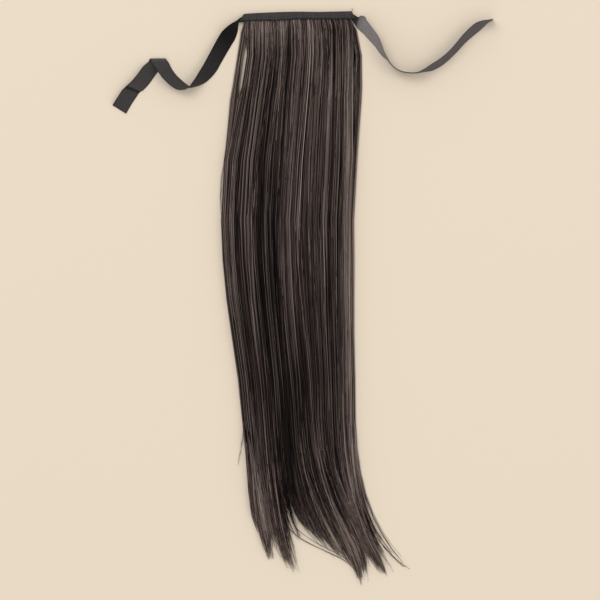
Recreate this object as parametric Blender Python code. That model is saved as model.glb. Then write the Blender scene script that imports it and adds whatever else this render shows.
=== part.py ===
"""Ponytail hairpiece: a ribbon folded over two layers of straight hair, laid flat on its back.

Every size is in millimetres until a mesh is made. A place is given as (across, drop, up): across to
the right from the middle of the band, drop down the hair from the band's top edge, up from the floor.
"""
import math

import bmesh
import bpy
from mathutils import Vector

MM = 0.001

# Driving sizes
CLOTH = 1.0
CLEARANCE = 0.3
HEAD = 1.4
RIBBON_WIDTH = 16.6
BAND_DEPTH = 2 * CLOTH + 2 * HEAD + 3 * CLEARANCE
BAND_ENDS = (-61.0, 50.0)
FOLD_SIDES = 6
STATIONS_PER_ROW = 2
LOCK_CROWN_AT = (0.22, 0.5, 0.78)
LOCK_CROWN = (0.3, 0.7, 0.3)
VALLEY = 0.9
SIDE_INSET = 7.5
TAIL_STATIONS = 9
TAIL_BEND = 0.55
TAIL_LEAN = 0.08
TIP_WIDTH = 1.6
TIP_THICKNESS = 0.9
LONGEST_DROP = 600.0
TIP_LEVEL = 1.1

# How the locks lie: the band's slant fades over SLANT_REACH, the boundaries between locks wander below
# WANDER_START, and the front layer draws in from the sides over INSET_REACH
SLANT_REACH = 45.0
WANDER = 0.014
WANDER_START = 80.0
WANDER_WAVE = 85.0
WANDER_PHASE = 2.1
INSET_START = 9.8
INSET_REACH = 20.0

# Shape of the top across the hair: how it rounds off to the sides, and how deep its valleys are
SIDE_ROUNDING = 4
SIDE_FALL = 0.5
TAIL_SIDE = 0.3
VALLEY_SHARE = 0.3
TOUCHING = 1e-6

# Band: across, drop of the fold, height
BAND_ROWS = (
    (-61.0, 2.2, 8.0),
    (-50.0, 1.5, 8.5),
    (-35.0, 0.8, 9.0),
    (-20.0, 0.3, 9.2),
    (-5.0, 0.0, 8.3),
    (15.0, 0.2, 8.2),
    (33.0, -0.1, 8.4),
    (50.0, -0.5, 8.6),
)

# Hair above its tips: drop, left, right, underside, level between the layers, top
HAIR_ROWS = (
    (3.2, -54.0, 43.0, 1.3, 2.7, 4.4),
    (8.2, -54.0, 43.0, 1.3, 2.7, 4.4),
    (9.8, -55.5, 45.0, 1.2, 2.7, 4.4),
    (12.0, -62.0, 51.6, 0.8, 2.9, 4.9),
    (19.8, -64.0, 55.4, 0.2, 3.6, 6.8),
    (30.2, -65.5, 58.2, 0.0, 4.3, 8.6),
    (45.8, -67.6, 59.8, 0.0, 5.0, 10.2),
    (61.4, -69.7, 60.3, 0.0, 5.5, 11.2),
    (78.0, -72.3, 59.8, 0.0, 5.8, 11.8),
    (92.6, -74.9, 59.3, 0.0, 6.0, 12.1),
    (123.8, -78.0, 56.7, 0.0, 6.2, 12.5),
    (155.0, -81.1, 55.1, 0.0, 6.3, 12.7),
    (186.2, -83.7, 53.0, 0.0, 6.3, 12.8),
    (217.4, -84.8, 51.5, 0.0, 6.3, 12.8),
    (259.0, -83.2, 52.0, 0.0, 6.2, 12.6),
    (300.6, -79.0, 52.0, 0.0, 6.0, 12.3),
    (342.2, -72.8, 52.5, 0.0, 5.8, 11.9),
    (383.8, -66.6, 53.6, 0.0, 5.5, 11.3),
    (425.4, -62.4, 54.1, 0.0, 5.1, 10.4),
    (456.6, -59.8, 55.1, 0.0, 4.7, 9.4),
    (487.8, -55.6, 60.3, 0.0, 4.1, 8.2),
)

# Locks from left to right: share of the width, tip across, tip drop, part of the tail where the lock
# parts from the one on its left, sway of the tail to the right, how long it stays wide
BACK_LOCKS = (
    (0.5, -38.0, 561.0, 0.0, 0.0, 1.6),
    (0.85, -32.5, 572.0, 0.62, 0.0, 1.8),
    (0.95, -9.0, 588.0, 0.60, -0.05, 2.4),
    (1.1, 1.0, 553.0, 0.16, 0.1, 1.1),
    (1.0, 30.0, 565.0, 0.50, -0.05, 1.6),
    (1.0, 47.0, 575.0, 0.62, 0.05, 1.6),
    (1.1, 61.9, LONGEST_DROP, 0.62, 0.35, 2.6),
    (1.1, 87.4, 588.6, 0.62, 0.28, 2.2),
    (0.5, 112.3, 581.4, 0.58, 0.1, 1.6),
)
FRONT_LOCKS = (
    (1.0, -37.0, 552.0, 0.0, 0.0, 1.8),
    (1.0, -16.0, 574.0, 0.60, 0.0, 2.2),
    (1.0, -1.0, 538.0, 0.22, 0.1, 1.2),
    (1.0, 19.0, 553.0, 0.50, -0.05, 1.8),
    (1.0, 41.0, 568.0, 0.60, 0.05, 1.6),
    (1.0, 58.5, 584.0, 0.62, 0.33, 2.4),
    (1.0, 83.0, 571.0, 0.60, 0.26, 2.0),
)

# Slits beside the side locks: boundary, drop where it opens, drop where it closes, half its width
BACK_SLITS = (
    (1, 28.0, 80.0, 1.4),
    (len(BACK_LOCKS) - 1, 18.0, 80.0, 0.6),
)

# Ties: raised edge across and drop, resting edge across and drop, width, height of the resting edge
LEFT_TIE_ROWS = (
    (-55.2, 4.3, -55.2, 7.6, 3.3, 1.3),
    (-61.0, 4.7, -61.0, 8.2, 3.5, 1.3),
    (-65.2, 7.3, -64.4, 10.0, 7.0, 0.5),
    (-68.4, 10.2, -67.0, 11.0, 9.5, 0.0),
    (-73.3, 13.2, -67.6, 14.8, 13.0, 0.0),
    (-78.6, 16.8, -68.3, 20.6, 16.0, 0.0),
    (-84.9, 22.2, -71.0, 28.6, RIBBON_WIDTH, 0.0),
    (-89.1, 28.9, -75.4, 35.9, RIBBON_WIDTH, 0.0),
    (-93.6, 37.4, -80.6, 44.7, RIBBON_WIDTH, 0.0),
    (-98.6, 46.9, -85.8, 53.9, RIBBON_WIDTH, 0.0),
    (-104.0, 56.8, -91.0, 62.9, RIBBON_WIDTH, 0.0),
    (-109.2, 66.0, -98.8, 71.3, RIBBON_WIDTH, 0.0),
    (-112.3, 71.6, -105.0, 75.4, RIBBON_WIDTH, 0.0),
    (-115.1, 75.7, -110.8, 77.5, RIBBON_WIDTH, 0.0),
    (-117.2, 79.0, -116.4, 78.6, RIBBON_WIDTH, 0.0),
    (-120.4, 81.4, -121.0, 76.0, RIBBON_WIDTH, 0.0),
    (-124.3, 82.6, -125.0, 72.8, RIBBON_WIDTH, 0.0),
    (-130.5, 82.0, -128.6, 69.5, RIBBON_WIDTH, 0.0),
    (-137.2, 78.2, -131.6, 66.6, RIBBON_WIDTH, 0.0),
    (-144.7, 71.2, -135.0, 62.4, RIBBON_WIDTH, 0.3),
    (-149.3, 65.3, -137.4, 58.6, RIBBON_WIDTH, 0.9),
    (-153.8, 58.6, -139.2, 55.0, RIBBON_WIDTH, 1.5),
    (-156.8, 54.2, -140.3, 52.8, RIBBON_WIDTH, 2.2),
    (-158.6, 50.9, -142.0, 50.7, RIBBON_WIDTH, 2.6),
    (-159.5, 49.2, -142.8, 49.2, RIBBON_WIDTH, 1.8),
    (-160.4, 50.8, -143.6, 50.9, RIBBON_WIDTH, 0.0),
    (-162.2, 53.2, -145.7, 54.6, RIBBON_WIDTH, 0.0),
    (-166.9, 58.2, -152.4, 63.6, RIBBON_WIDTH, 0.0),
    (-172.1, 65.5, -160.6, 75.2, RIBBON_WIDTH, 0.0),
    (-178.4, 73.2, -166.6, 81.6, RIBBON_WIDTH, 0.0),
    (-184.8, 78.8, -170.2, 83.8, RIBBON_WIDTH, 0.0),
    (-188.6, 82.4, -174.4, 89.6, RIBBON_WIDTH, 0.0),
    (-193.4, 89.8, -179.4, 97.2, RIBBON_WIDTH, 0.0),
    (-198.6, 97.4, -184.4, 106.1, RIBBON_WIDTH, 0.0),
)
RIGHT_TIE_ROWS = (
    (44.4, 2.4, 44.4, 6.2, 3.8, 1.3),
    (50.0, 2.6, 50.0, 7.0, 4.4, 1.3),
    (54.6, 4.2, 51.6, 9.8, 7.0, 0.6),
    (57.4, 6.0, 54.4, 13.8, 9.0, 0.2),
    (60.6, 4.6, 56.0, 16.6, 14.0, 0.0),
    (64.8, 6.8, 58.2, 18.4, RIBBON_WIDTH, 0.0),
    (66.4, 11.0, 60.4, 20.6, RIBBON_WIDTH, 0.0),
    (69.2, 14.8, 62.8, 22.4, RIBBON_WIDTH, 0.0),
    (73.2, 20.2, 66.4, 26.4, RIBBON_WIDTH, 0.0),
    (77.9, 26.8, 71.2, 31.6, RIBBON_WIDTH, 0.0),
    (81.0, 34.4, 75.8, 36.8, RIBBON_WIDTH, 0.0),
    (84.7, 42.4, 81.2, 45.2, RIBBON_WIDTH, 0.0),
    (88.8, 49.4, 87.6, 50.4, RIBBON_WIDTH, 0.0),
    (91.6, 54.0, 91.0, 54.4, RIBBON_WIDTH, 0.0),
    (96.2, 58.4, 96.0, 58.8, RIBBON_WIDTH, 0.0),
    (101.6, 61.6, 101.5, 62.1, RIBBON_WIDTH, 0.0),
    (108.6, 63.2, 108.5, 63.7, RIBBON_WIDTH, 0.0),
    (116.8, 63.6, 116.8, 64.1, RIBBON_WIDTH, 0.0),
    (122.2, 62.4, 122.6, 63.4, RIBBON_WIDTH, 0.0),
    (126.6, 60.2, 127.8, 62.6, RIBBON_WIDTH, 0.0),
    (132.2, 56.8, 134.8, 61.2, RIBBON_WIDTH, 0.0),
    (140.4, 51.6, 143.6, 56.8, RIBBON_WIDTH, 0.0),
    (149.2, 44.6, 152.8, 49.4, RIBBON_WIDTH, 0.0),
    (157.0, 36.4, 161.6, 40.6, RIBBON_WIDTH, 0.0),
    (163.8, 28.0, 169.0, 32.6, RIBBON_WIDTH, 0.0),
    (171.0, 20.2, 176.4, 26.0, RIBBON_WIDTH, 0.0),
    (178.8, 13.6, 183.0, 20.6, RIBBON_WIDTH, 0.0),
    (184.8, 11.4, 188.8, 15.4, RIBBON_WIDTH, 0.0),
    (191.4, 9.8, 193.0, 11.8, RIBBON_WIDTH, 0.0),
    (198.0, 7.4, 198.4, 7.9, RIBBON_WIDTH, 0.0),
)


def clear_scene():
    for old in list(bpy.data.objects):
        bpy.data.objects.remove(old)


def hair_material():
    material = bpy.data.materials.new("straight_hair")
    material.use_nodes = True
    shader = material.node_tree.nodes["Principled BSDF"]
    shader.inputs["Base Color"].default_value = (0.055, 0.038, 0.034, 1.0)
    shader.inputs["Roughness"].default_value = 0.45
    shader.inputs["Metallic"].default_value = 0.0
    return material


def ribbon_material():
    material = bpy.data.materials.new("woven_ribbon")
    material.use_nodes = True
    shader = material.node_tree.nodes["Principled BSDF"]
    shader.inputs["Base Color"].default_value = (0.045, 0.043, 0.046, 1.0)
    shader.inputs["Roughness"].default_value = 0.8
    shader.inputs["Metallic"].default_value = 0.0
    return material


def place(across, drop, up):
    return Vector((across, -drop, up)) * MM


def finish_piece(name, mesh_data, material):
    """Turn a closed bmesh into a named object with outward faces."""
    bmesh.ops.recalc_face_normals(mesh_data, faces=mesh_data.faces)
    bmesh.ops.triangulate(mesh_data, faces=mesh_data.faces)
    mesh = bpy.data.meshes.new(name)
    mesh_data.to_mesh(mesh)
    mesh_data.free()
    mesh.materials.append(material)
    piece = bpy.data.objects.new(name, mesh)
    bpy.context.collection.objects.link(piece)
    return piece


def curve_value(a, b, c, d, t):
    """Value on a smooth curve from b to c, with a and d as its neighbours."""
    bend = (2 * a - 5 * b + 4 * c - d) * t * t + (3 * b - a - 3 * c + d) * t ** 3
    return b + 0.5 * ((c - a) * t + bend)


def smooth_rows(rows, steps):
    """Rows of a table with further rows between them on smooth curves."""
    padded = (rows[0],) + tuple(rows) + (rows[-1],)
    result = []
    for index in range(len(rows) - 1):
        near = padded[index:index + 4]
        for step in range(steps):
            t = step / steps
            result.append(tuple(curve_value(a, b, c, d, t) for a, b, c, d in zip(*near)))
    result.append(tuple(rows[-1]))
    return result


def between(rows, key, column):
    """Column of a table at a value of its first column."""
    if key <= rows[0][0]:
        return rows[0][column]
    for low, high in zip(rows, rows[1:]):
        if key <= high[0]:
            share = (key - low[0]) / (high[0] - low[0])
            return low[column] + share * (high[column] - low[column])
    return rows[-1][column]


def loft(mesh_data, sections):
    """Join closed sections of equal count into one capped solid."""
    rings = [[mesh_data.verts.new(point) for point in section] for section in sections]
    count = len(rings[0])
    for low, high in zip(rings, rings[1:]):
        for index in range(count):
            after = (index + 1) % count
            mesh_data.faces.new((low[index], low[after], high[after], high[index]))
    mesh_data.faces.new(rings[0])
    mesh_data.faces.new(rings[-1])


def fold_arc(top, radius):
    """Drop and up of the points over the band's fold, from its back to its front."""
    middle = BAND_DEPTH / 2
    points = []
    for side in range(FOLD_SIDES + 1):
        angle = math.pi * side / FOLD_SIDES
        points.append((top + middle - radius * math.sin(angle), middle - radius * math.cos(angle)))
    return points


def band_section(across, top, height):
    outside = [(top + height, 0.0)] + fold_arc(top, BAND_DEPTH / 2) + [(top + height, BAND_DEPTH)]
    inside = [(top + height, CLOTH)] + fold_arc(top, BAND_DEPTH / 2 - CLOTH)
    inside.append((top + height, BAND_DEPTH - CLOTH))
    return [place(across, drop, up) for drop, up in outside + inside[::-1]]


def make_band(material):
    """Ribbon folded lengthwise over the heads of the hair, open below and at both ends."""
    mesh_data = bmesh.new()
    sections = [band_section(*row) for row in smooth_rows(BAND_ROWS, STATIONS_PER_ROW)]
    loft(mesh_data, sections)
    return finish_piece("band", mesh_data, material)


def tie_line(row):
    """Raised and resting edge of the ribbon's middle at its height above the floor."""
    raised_x, raised_drop, rest_x, rest_drop, width, lift = row
    plan = math.hypot(raised_x - rest_x, raised_drop - rest_drop)
    climb = math.sqrt(max(width ** 2 - plan ** 2, 0.0))
    return Vector((raised_x, -raised_drop, lift + climb)), Vector((rest_x, -rest_drop, lift))


def make_tie(name, rows, material):
    """Free ribbon end, one wall thick, that stands, twists and folds as its rows say."""
    stations = smooth_rows(rows, STATIONS_PER_ROW)
    lines = [tie_line(row) for row in stations]
    middles = [(raised + resting) / 2 for raised, resting in lines]
    sections = []
    for index, (raised, resting) in enumerate(lines):
        before = middles[max(index - 1, 0)]
        after = middles[min(index + 1, len(lines) - 1)]
        normal = (after - before).cross(raised - resting).normalized() * (CLOTH / 2)
        corners = [raised + normal, resting + normal, resting - normal, raised - normal]
        lift = stations[index][5]
        settle = lift - min(corner.z for corner in corners)
        sections.append([(corner + Vector((0.0, 0.0, settle))) * MM for corner in corners])
    mesh_data = bmesh.new()
    loft(mesh_data, sections)
    return finish_piece(name, mesh_data, material)


def follow_band(across, drop):
    """Drop of a hair station, which keeps the band's slant near the band and loses it below."""
    slant = between(BAND_ROWS, across, 1)
    return drop + slant * max(0.0, 1.0 - drop / SLANT_REACH)


def level_between(drop):
    """Height where the back layer ends and the front layer begins."""
    last = HAIR_ROWS[-1]
    if drop <= last[0]:
        return between(HAIR_ROWS, drop, 4)
    share = (drop - last[0]) / (LONGEST_DROP - last[0])
    return last[4] + share * (TIP_LEVEL - last[4])


def lock_shares(locks, drop):
    """Boundaries between the locks as shares of the width, which wander a little down the hair."""
    total = sum(lock[0] for lock in locks)
    shares = [0.0]
    for lock in locks:
        shares.append(shares[-1] + lock[0] / total)
    wander = WANDER * min(1.0, max(0.0, (drop - WANDER_START) / WANDER_START))
    inner = range(2, len(locks) - 1)
    return [
        share + (wander * math.sin(drop / WANDER_WAVE + WANDER_PHASE * index) if index in inner else 0.0)
        for index, share in enumerate(shares)
    ]


def open_half_width(slits, boundary, drop):
    for slit, opens, closes, half in slits:
        if slit == boundary and opens < drop < closes:
            return half * math.sin(math.pi * (drop - opens) / (closes - opens)) + CLEARANCE
    return 0.0


def row_stations(locks, slits, front):
    """Left and right edge of every lock at each row of the hair, as (across, drop) pairs."""
    stations = []
    for drop, left, right, *_ in HAIR_ROWS:
        drawn_in = min(1.0, max(0.0, (drop - INSET_START) / INSET_REACH))
        inset = SIDE_INSET * drawn_in if front else 0.0
        low, high = left + inset, right - inset
        shares = lock_shares(locks, drop)
        station = []
        for index in range(len(locks)):
            near = low + shares[index] * (high - low) + open_half_width(slits, index, drop)
            far = low + shares[index + 1] * (high - low) - open_half_width(slits, index + 1, drop)
            station.append(((near, follow_band(near, drop)), (far, follow_band(far, drop))))
        stations.append(station)
    return stations


def tail_edges(root, lock, part):
    """Edges of one lock's tail at a part of its length, from its root row to its tip."""
    left, right = Vector(root[0]), Vector(root[1])
    start = (left + right) / 2
    tip = Vector((lock[1], lock[2]))
    bend = start + Vector((TAIL_LEAN + lock[4], 1.0)) * (TAIL_BEND * (tip - start).length)
    point = start * (1 - part) ** 2 + bend * (2 * part * (1 - part)) + tip * part ** 2
    along = ((bend - start) * (1 - part) + (tip - bend) * part).normalized()
    aside = Vector((along.y, -along.x))
    spent = part ** lock[5]
    half = (right - left).length / 2 * (1 - spent) + TIP_WIDTH / 2 * spent
    return point - aside * half, point + aside * half


def tail_stations(locks, roots):
    """Edges of the tails, joined where two neighbours haven't parted yet."""
    stations = []
    for step in range(1, TAIL_STATIONS + 1):
        part = step / TAIL_STATIONS
        station = [list(tail_edges(root, lock, part)) for root, lock in zip(roots, locks)]
        for index in range(1, len(locks)):
            if part < locks[index][3]:
                seam = (station[index - 1][1] + station[index][0]) / 2
                station[index - 1][1] = seam
                station[index][0] = seam
        stations.append([(tuple(left), tuple(right)) for left, right in station])
    return stations


def hair_heights(drop, part, front):
    """Underside and top of one layer at a drop, and at a part of the tail beyond the last row."""
    middle = level_between(drop)
    if front:
        under = middle + CLEARANCE
        thickness = max(between(HAIR_ROWS, drop, 5) - under, TIP_THICKNESS)
        if part > 0:
            thickness = HAIR_ROWS[-1][5] - HAIR_ROWS[-1][4] - CLEARANCE
    else:
        under = between(HAIR_ROWS, drop, 3)
        thickness = middle - under
    if part > 0:
        thickness = min(thickness, thickness * (1 - part) + TIP_THICKNESS * part)
    return under, under + thickness


def station_points(station, row_drop, part, front):
    """Top and underside points of every lock across one station."""
    first, last = station[0][0][0], station[-1][1][0]
    centre, reach = (first + last) / 2, max((last - first) / 2, 1.0)
    locks = []
    for left, right in station:
        top, under = [], []
        for share in (0.0,) + LOCK_CROWN_AT + (1.0,):
            across = left[0] + share * (right[0] - left[0])
            drop = left[1] + share * (right[1] - left[1])
            low, high = hair_heights(drop if part > 0 else row_drop, part, front)
            side = abs((across - centre) / reach) ** SIDE_ROUNDING if part == 0 else TAIL_SIDE
            crown = LOCK_CROWN[LOCK_CROWN_AT.index(share)] if share in LOCK_CROWN_AT else 0.0
            dip = min(VALLEY, VALLEY_SHARE * (high - low)) * (1 - crown)
            up = low + (high - low) * (1 - SIDE_FALL * side) - dip
            top.append(place(across, drop, up))
            if share in (0.0, 1.0):
                under.append(place(across, drop, low))
        locks.append((top, under))
    return locks


def make_hair(name, locks, slits, front, material):
    """One layer of hair: locks fused side by side under the band, each ending in its own tip."""
    rows = row_stations(locks, slits, front)
    tails = tail_stations(locks, rows[-1])
    edges = rows + tails
    drops = [row[0] for row in HAIR_ROWS] + [LONGEST_DROP] * len(tails)
    parts = [0.0] * len(rows) + [(step + 1) / TAIL_STATIONS for step in range(len(tails))]
    points = [station_points(*line, front) for line in zip(edges, drops, parts)]
    mesh_data = bmesh.new()
    shared = {}

    def vertex(key, point):
        if key not in shared:
            shared[key] = mesh_data.verts.new(point)
        return shared[key]

    def parted(station, boundary):
        if boundary in (0, len(locks)):
            return True
        left, right = edges[station][boundary - 1][1], edges[station][boundary][0]
        return math.hypot(left[0] - right[0], left[1] - right[1]) > TOUCHING

    def ring(station, lock):
        top, under = points[station][lock]
        left = (lock, "right") if parted(station, lock) else (lock, "both")
        right = (lock + 1, "left") if parted(station, lock + 1) else (lock + 1, "both")
        upper = [vertex((station, "top") + left, top[0])]
        for index, point in enumerate(top[1:-1]):
            upper.append(vertex((station, "crown", lock, index), point))
        upper.append(vertex((station, "top") + right, top[-1]))
        lower = [vertex((station, "under") + left, under[0])]
        lower.append(vertex((station, "under") + right, under[1]))
        return upper, lower

    for lock in range(len(locks)):
        rings = [ring(station, lock) for station in range(len(edges))]
        for station, (near, far) in enumerate(zip(rings, rings[1:])):
            for strip_near, strip_far in zip(near, far):
                for index in range(len(strip_near) - 1):
                    mesh_data.faces.new((
                        strip_near[index], strip_near[index + 1], strip_far[index + 1], strip_far[index],
                    ))
            for boundary, end in ((lock, 0), (lock + 1, -1)):
                if parted(station, boundary) or parted(station + 1, boundary):
                    mesh_data.faces.new((near[0][end], far[0][end], far[1][end], near[1][end]))
        for upper, lower in (rings[0], rings[-1]):
            mesh_data.faces.new(upper + lower[::-1])
    return finish_piece(name, mesh_data, material)


def centre_pieces(pieces):
    """Set the middle of the whole piece's footprint at the origin."""
    corners = [vertex.co for piece in pieces for vertex in piece.data.vertices]
    middle_x = (min(c.x for c in corners) + max(c.x for c in corners)) / 2
    middle_y = (min(c.y for c in corners) + max(c.y for c in corners)) / 2
    for piece in pieces:
        piece.location = (-middle_x, -middle_y, 0.0)


def main():
    clear_scene()
    hair = hair_material()
    ribbon = ribbon_material()
    centre_pieces((
        make_band(ribbon),
        make_tie("tie_left", LEFT_TIE_ROWS, ribbon),
        make_tie("tie_right", RIGHT_TIE_ROWS, ribbon),
        make_hair("weft_back", BACK_LOCKS, BACK_SLITS, False, hair),
        make_hair("weft_front", FRONT_LOCKS, (), True, hair),
    ))


main()
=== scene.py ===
"""Looks of the ponytail hairpiece: fine strands over dark cores, a stitched band and two ribbon ties.

Sizes are in millimetres until a mesh is made. A place is given as (across, drop, up): across to the
right from the middle of the band, drop down the hair from the band's top edge, up from the floor.
"""

import math

import bmesh
import bpy
import numpy as np
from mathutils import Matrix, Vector


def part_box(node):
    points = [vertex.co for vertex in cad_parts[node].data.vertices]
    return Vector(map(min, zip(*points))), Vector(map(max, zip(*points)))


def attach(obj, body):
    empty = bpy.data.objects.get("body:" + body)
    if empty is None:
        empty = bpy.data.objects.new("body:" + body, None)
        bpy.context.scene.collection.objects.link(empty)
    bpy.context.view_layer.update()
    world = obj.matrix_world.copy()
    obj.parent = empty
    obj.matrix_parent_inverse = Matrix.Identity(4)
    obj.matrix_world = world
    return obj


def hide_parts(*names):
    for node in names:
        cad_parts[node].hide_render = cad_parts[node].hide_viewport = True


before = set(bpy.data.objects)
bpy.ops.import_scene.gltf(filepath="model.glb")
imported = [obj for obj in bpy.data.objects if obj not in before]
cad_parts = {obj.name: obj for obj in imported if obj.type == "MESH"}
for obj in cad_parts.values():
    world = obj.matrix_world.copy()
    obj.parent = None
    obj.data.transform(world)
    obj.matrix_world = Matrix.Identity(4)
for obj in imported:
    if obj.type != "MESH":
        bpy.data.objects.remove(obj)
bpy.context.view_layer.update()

MM = 0.001

# Sizes shared with the solids
CLOTH = 1.0
CLEARANCE = 0.3
HEAD = 1.4
RIBBON_WIDTH = 16.6
BAND_DEPTH = 2 * CLOTH + 2 * HEAD + 3 * CLEARANCE
BAND_LEFT_END = -61.0
BAND_TOP = -0.5
LOCK_CROWN_AT = (0.0, 0.22, 0.5, 0.78, 1.0)
LOCK_CROWN = (0.0, 0.3, 0.7, 0.3, 0.0)
VALLEY = 0.9
VALLEY_SHARE = 0.3
SIDE_FALL = 0.5
SIDE_POWER = 4
TAIL_SIDE = 0.3
INSET_DROPS = (9.8, 29.8, 90.0, 150.0)
FRONT_INSETS = (0.0, 7.5, 7.5, 3.0)
SLANT_FADE = 45.0
WANDER = 0.014
WANDER_DROP = 80.0
WANDER_LENGTH = 85.0
WANDER_TURN = 2.1
SLIT_CLEARANCE = 0.3
TAIL_STATIONS = 9
TAIL_BEND = 0.55
TAIL_LEAN = 0.08
TIP_WIDTH = 1.6
TIP_THICKNESS = 0.9
LONGEST_DROP = 600.0
TIP_LEVEL = 1.1

# Where (0, 0, 0) of these sizes lies in the frame
band_low, band_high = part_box("band")
ORIGIN_X = band_low[0] - BAND_LEFT_END * MM
ORIGIN_Y = band_high[1] + BAND_TOP * MM
ORIGIN = Vector((ORIGIN_X, ORIGIN_Y, 0.0)) / MM

# Band: across, drop of the fold, height
BAND_ROWS = (
    (-61.0, 2.2, 8.0),
    (-50.0, 1.5, 8.5),
    (-35.0, 0.8, 9.0),
    (-20.0, 0.3, 9.2),
    (-5.0, 0.0, 8.3),
    (15.0, 0.2, 8.2),
    (33.0, -0.1, 8.4),
    (50.0, -0.5, 8.6),
)

# Hair above its tips: drop, left, right, underside, level between the layers, top
HAIR_ROWS = (
    (3.2, -59.0, 48.0, 1.3, 2.7, 4.4),
    (7.4, -59.6, 48.8, 1.3, 2.7, 4.4),
    (9.8, -60.6, 50.2, 1.2, 2.7, 4.4),
    (12.0, -61.4, 51.2, 0.8, 2.9, 4.9),
    (19.8, -64.0, 55.4, 0.2, 3.6, 6.8),
    (30.2, -65.5, 58.2, 0.0, 4.3, 8.6),
    (45.8, -67.6, 59.8, 0.0, 5.0, 10.2),
    (61.4, -69.7, 60.3, 0.0, 5.5, 11.2),
    (78.0, -72.3, 59.8, 0.0, 5.8, 11.8),
    (92.6, -74.9, 59.3, 0.0, 6.0, 12.1),
    (123.8, -78.0, 56.7, 0.0, 6.2, 12.5),
    (155.0, -81.1, 55.1, 0.0, 6.3, 12.7),
    (186.2, -83.7, 53.0, 0.0, 6.3, 12.8),
    (217.4, -84.8, 51.5, 0.0, 6.3, 12.8),
    (259.0, -83.2, 52.0, 0.0, 6.2, 12.6),
    (300.6, -79.0, 52.0, 0.0, 6.0, 12.3),
    (342.2, -72.8, 52.5, 0.0, 5.8, 11.9),
    (383.8, -66.6, 53.6, 0.0, 5.5, 11.3),
    (425.4, -62.4, 54.1, 0.0, 5.1, 10.4),
    (456.6, -59.8, 55.1, 0.0, 4.7, 9.4),
    (487.8, -55.6, 60.3, 0.0, 4.1, 8.2),
)

# Locks from left to right: share of the width, tip across, tip drop, part of the tail where the lock
# parts from the one on its left, sway of the tail to the right, how long it stays wide
BACK_LOCKS = (
    (0.5, -38.0, 561.0, 0.0, 0.0, 1.6),
    (0.85, -32.5, 572.0, 0.62, 0.0, 1.8),
    (0.95, -9.0, 588.0, 0.60, -0.05, 2.4),
    (1.1, 1.0, 553.0, 0.16, 0.1, 1.1),
    (1.0, 30.0, 565.0, 0.50, -0.05, 1.6),
    (1.0, 47.0, 575.0, 0.62, 0.05, 1.6),
    (1.1, 61.9, LONGEST_DROP, 0.62, 0.35, 2.6),
    (1.1, 87.4, 588.6, 0.62, 0.28, 2.2),
    (0.5, 112.3, 581.4, 0.58, 0.1, 1.6),
)
FRONT_LOCKS = (
    (1.0, -37.0, 552.0, 0.0, 0.0, 1.8),
    (1.0, -16.0, 574.0, 0.60, 0.0, 2.2),
    (1.0, -1.0, 538.0, 0.22, 0.1, 1.2),
    (1.0, 19.0, 553.0, 0.50, -0.05, 1.8),
    (1.0, 41.0, 568.0, 0.60, 0.05, 1.6),
    (1.0, 58.5, 584.0, 0.62, 0.33, 2.4),
    (1.0, 83.0, 571.0, 0.60, 0.26, 2.0),
)

# Slits beside the side locks: boundary, drop where it opens, drop where it closes, half its width
BACK_SLITS = (
    (1, 24.0, 88.0, 1.9),
    (len(BACK_LOCKS) - 1, 18.0, 80.0, 0.6),
)

# Ties: raised edge across and drop, resting edge across and drop, then the width and the height of the
# resting edge where the ribbon isn't at its full width on the floor
LEFT_TIE_ROWS = (
    (-55.2, 4.3, -55.2, 7.6, 3.3, 1.3),
    (-61.0, 4.7, -61.0, 8.2, 3.5, 1.3),
    (-65.2, 7.3, -64.4, 10.0, 7.0, 0.5),
    (-68.4, 10.2, -67.0, 11.0, 9.5, 0.0),
    (-73.3, 13.2, -67.6, 14.8, 13.0, 0.0),
    (-78.6, 16.8, -68.3, 20.6, 16.0, 0.0),
    (-84.9, 22.2, -71.0, 28.6),
    (-89.1, 28.9, -75.4, 35.9),
    (-93.6, 37.4, -80.6, 44.7),
    (-98.6, 46.9, -85.8, 53.9),
    (-104.0, 56.8, -91.0, 62.9),
    (-109.2, 66.0, -98.8, 71.3),
    (-112.3, 71.6, -105.0, 75.4),
    (-115.1, 75.7, -110.8, 77.5),
    (-117.2, 79.0, -116.4, 78.6),
    (-120.4, 81.4, -121.0, 76.0),
    (-124.3, 82.6, -125.0, 72.8),
    (-130.5, 82.0, -128.6, 69.5),
    (-137.2, 78.2, -131.6, 66.6),
    (-144.7, 71.2, -135.0, 62.4, RIBBON_WIDTH, 0.3),
    (-149.3, 65.3, -137.4, 58.6, RIBBON_WIDTH, 0.9),
    (-153.8, 58.6, -139.2, 55.0, RIBBON_WIDTH, 1.5),
    (-156.8, 54.2, -140.3, 52.8, RIBBON_WIDTH, 2.2),
    (-158.6, 50.9, -142.0, 50.7, RIBBON_WIDTH, 2.6),
    (-159.5, 49.2, -142.8, 49.2, RIBBON_WIDTH, 1.8),
    (-160.4, 50.8, -143.6, 50.9),
    (-162.2, 53.2, -145.7, 54.6),
    (-166.9, 58.2, -152.4, 63.6),
    (-172.1, 65.5, -160.6, 75.2),
    (-178.4, 73.2, -166.6, 81.6),
    (-184.8, 78.8, -170.2, 83.8),
    (-188.6, 82.4, -174.4, 89.6),
    (-193.4, 89.8, -179.4, 97.2),
    (-198.6, 97.4, -184.4, 106.1),
)
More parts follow.
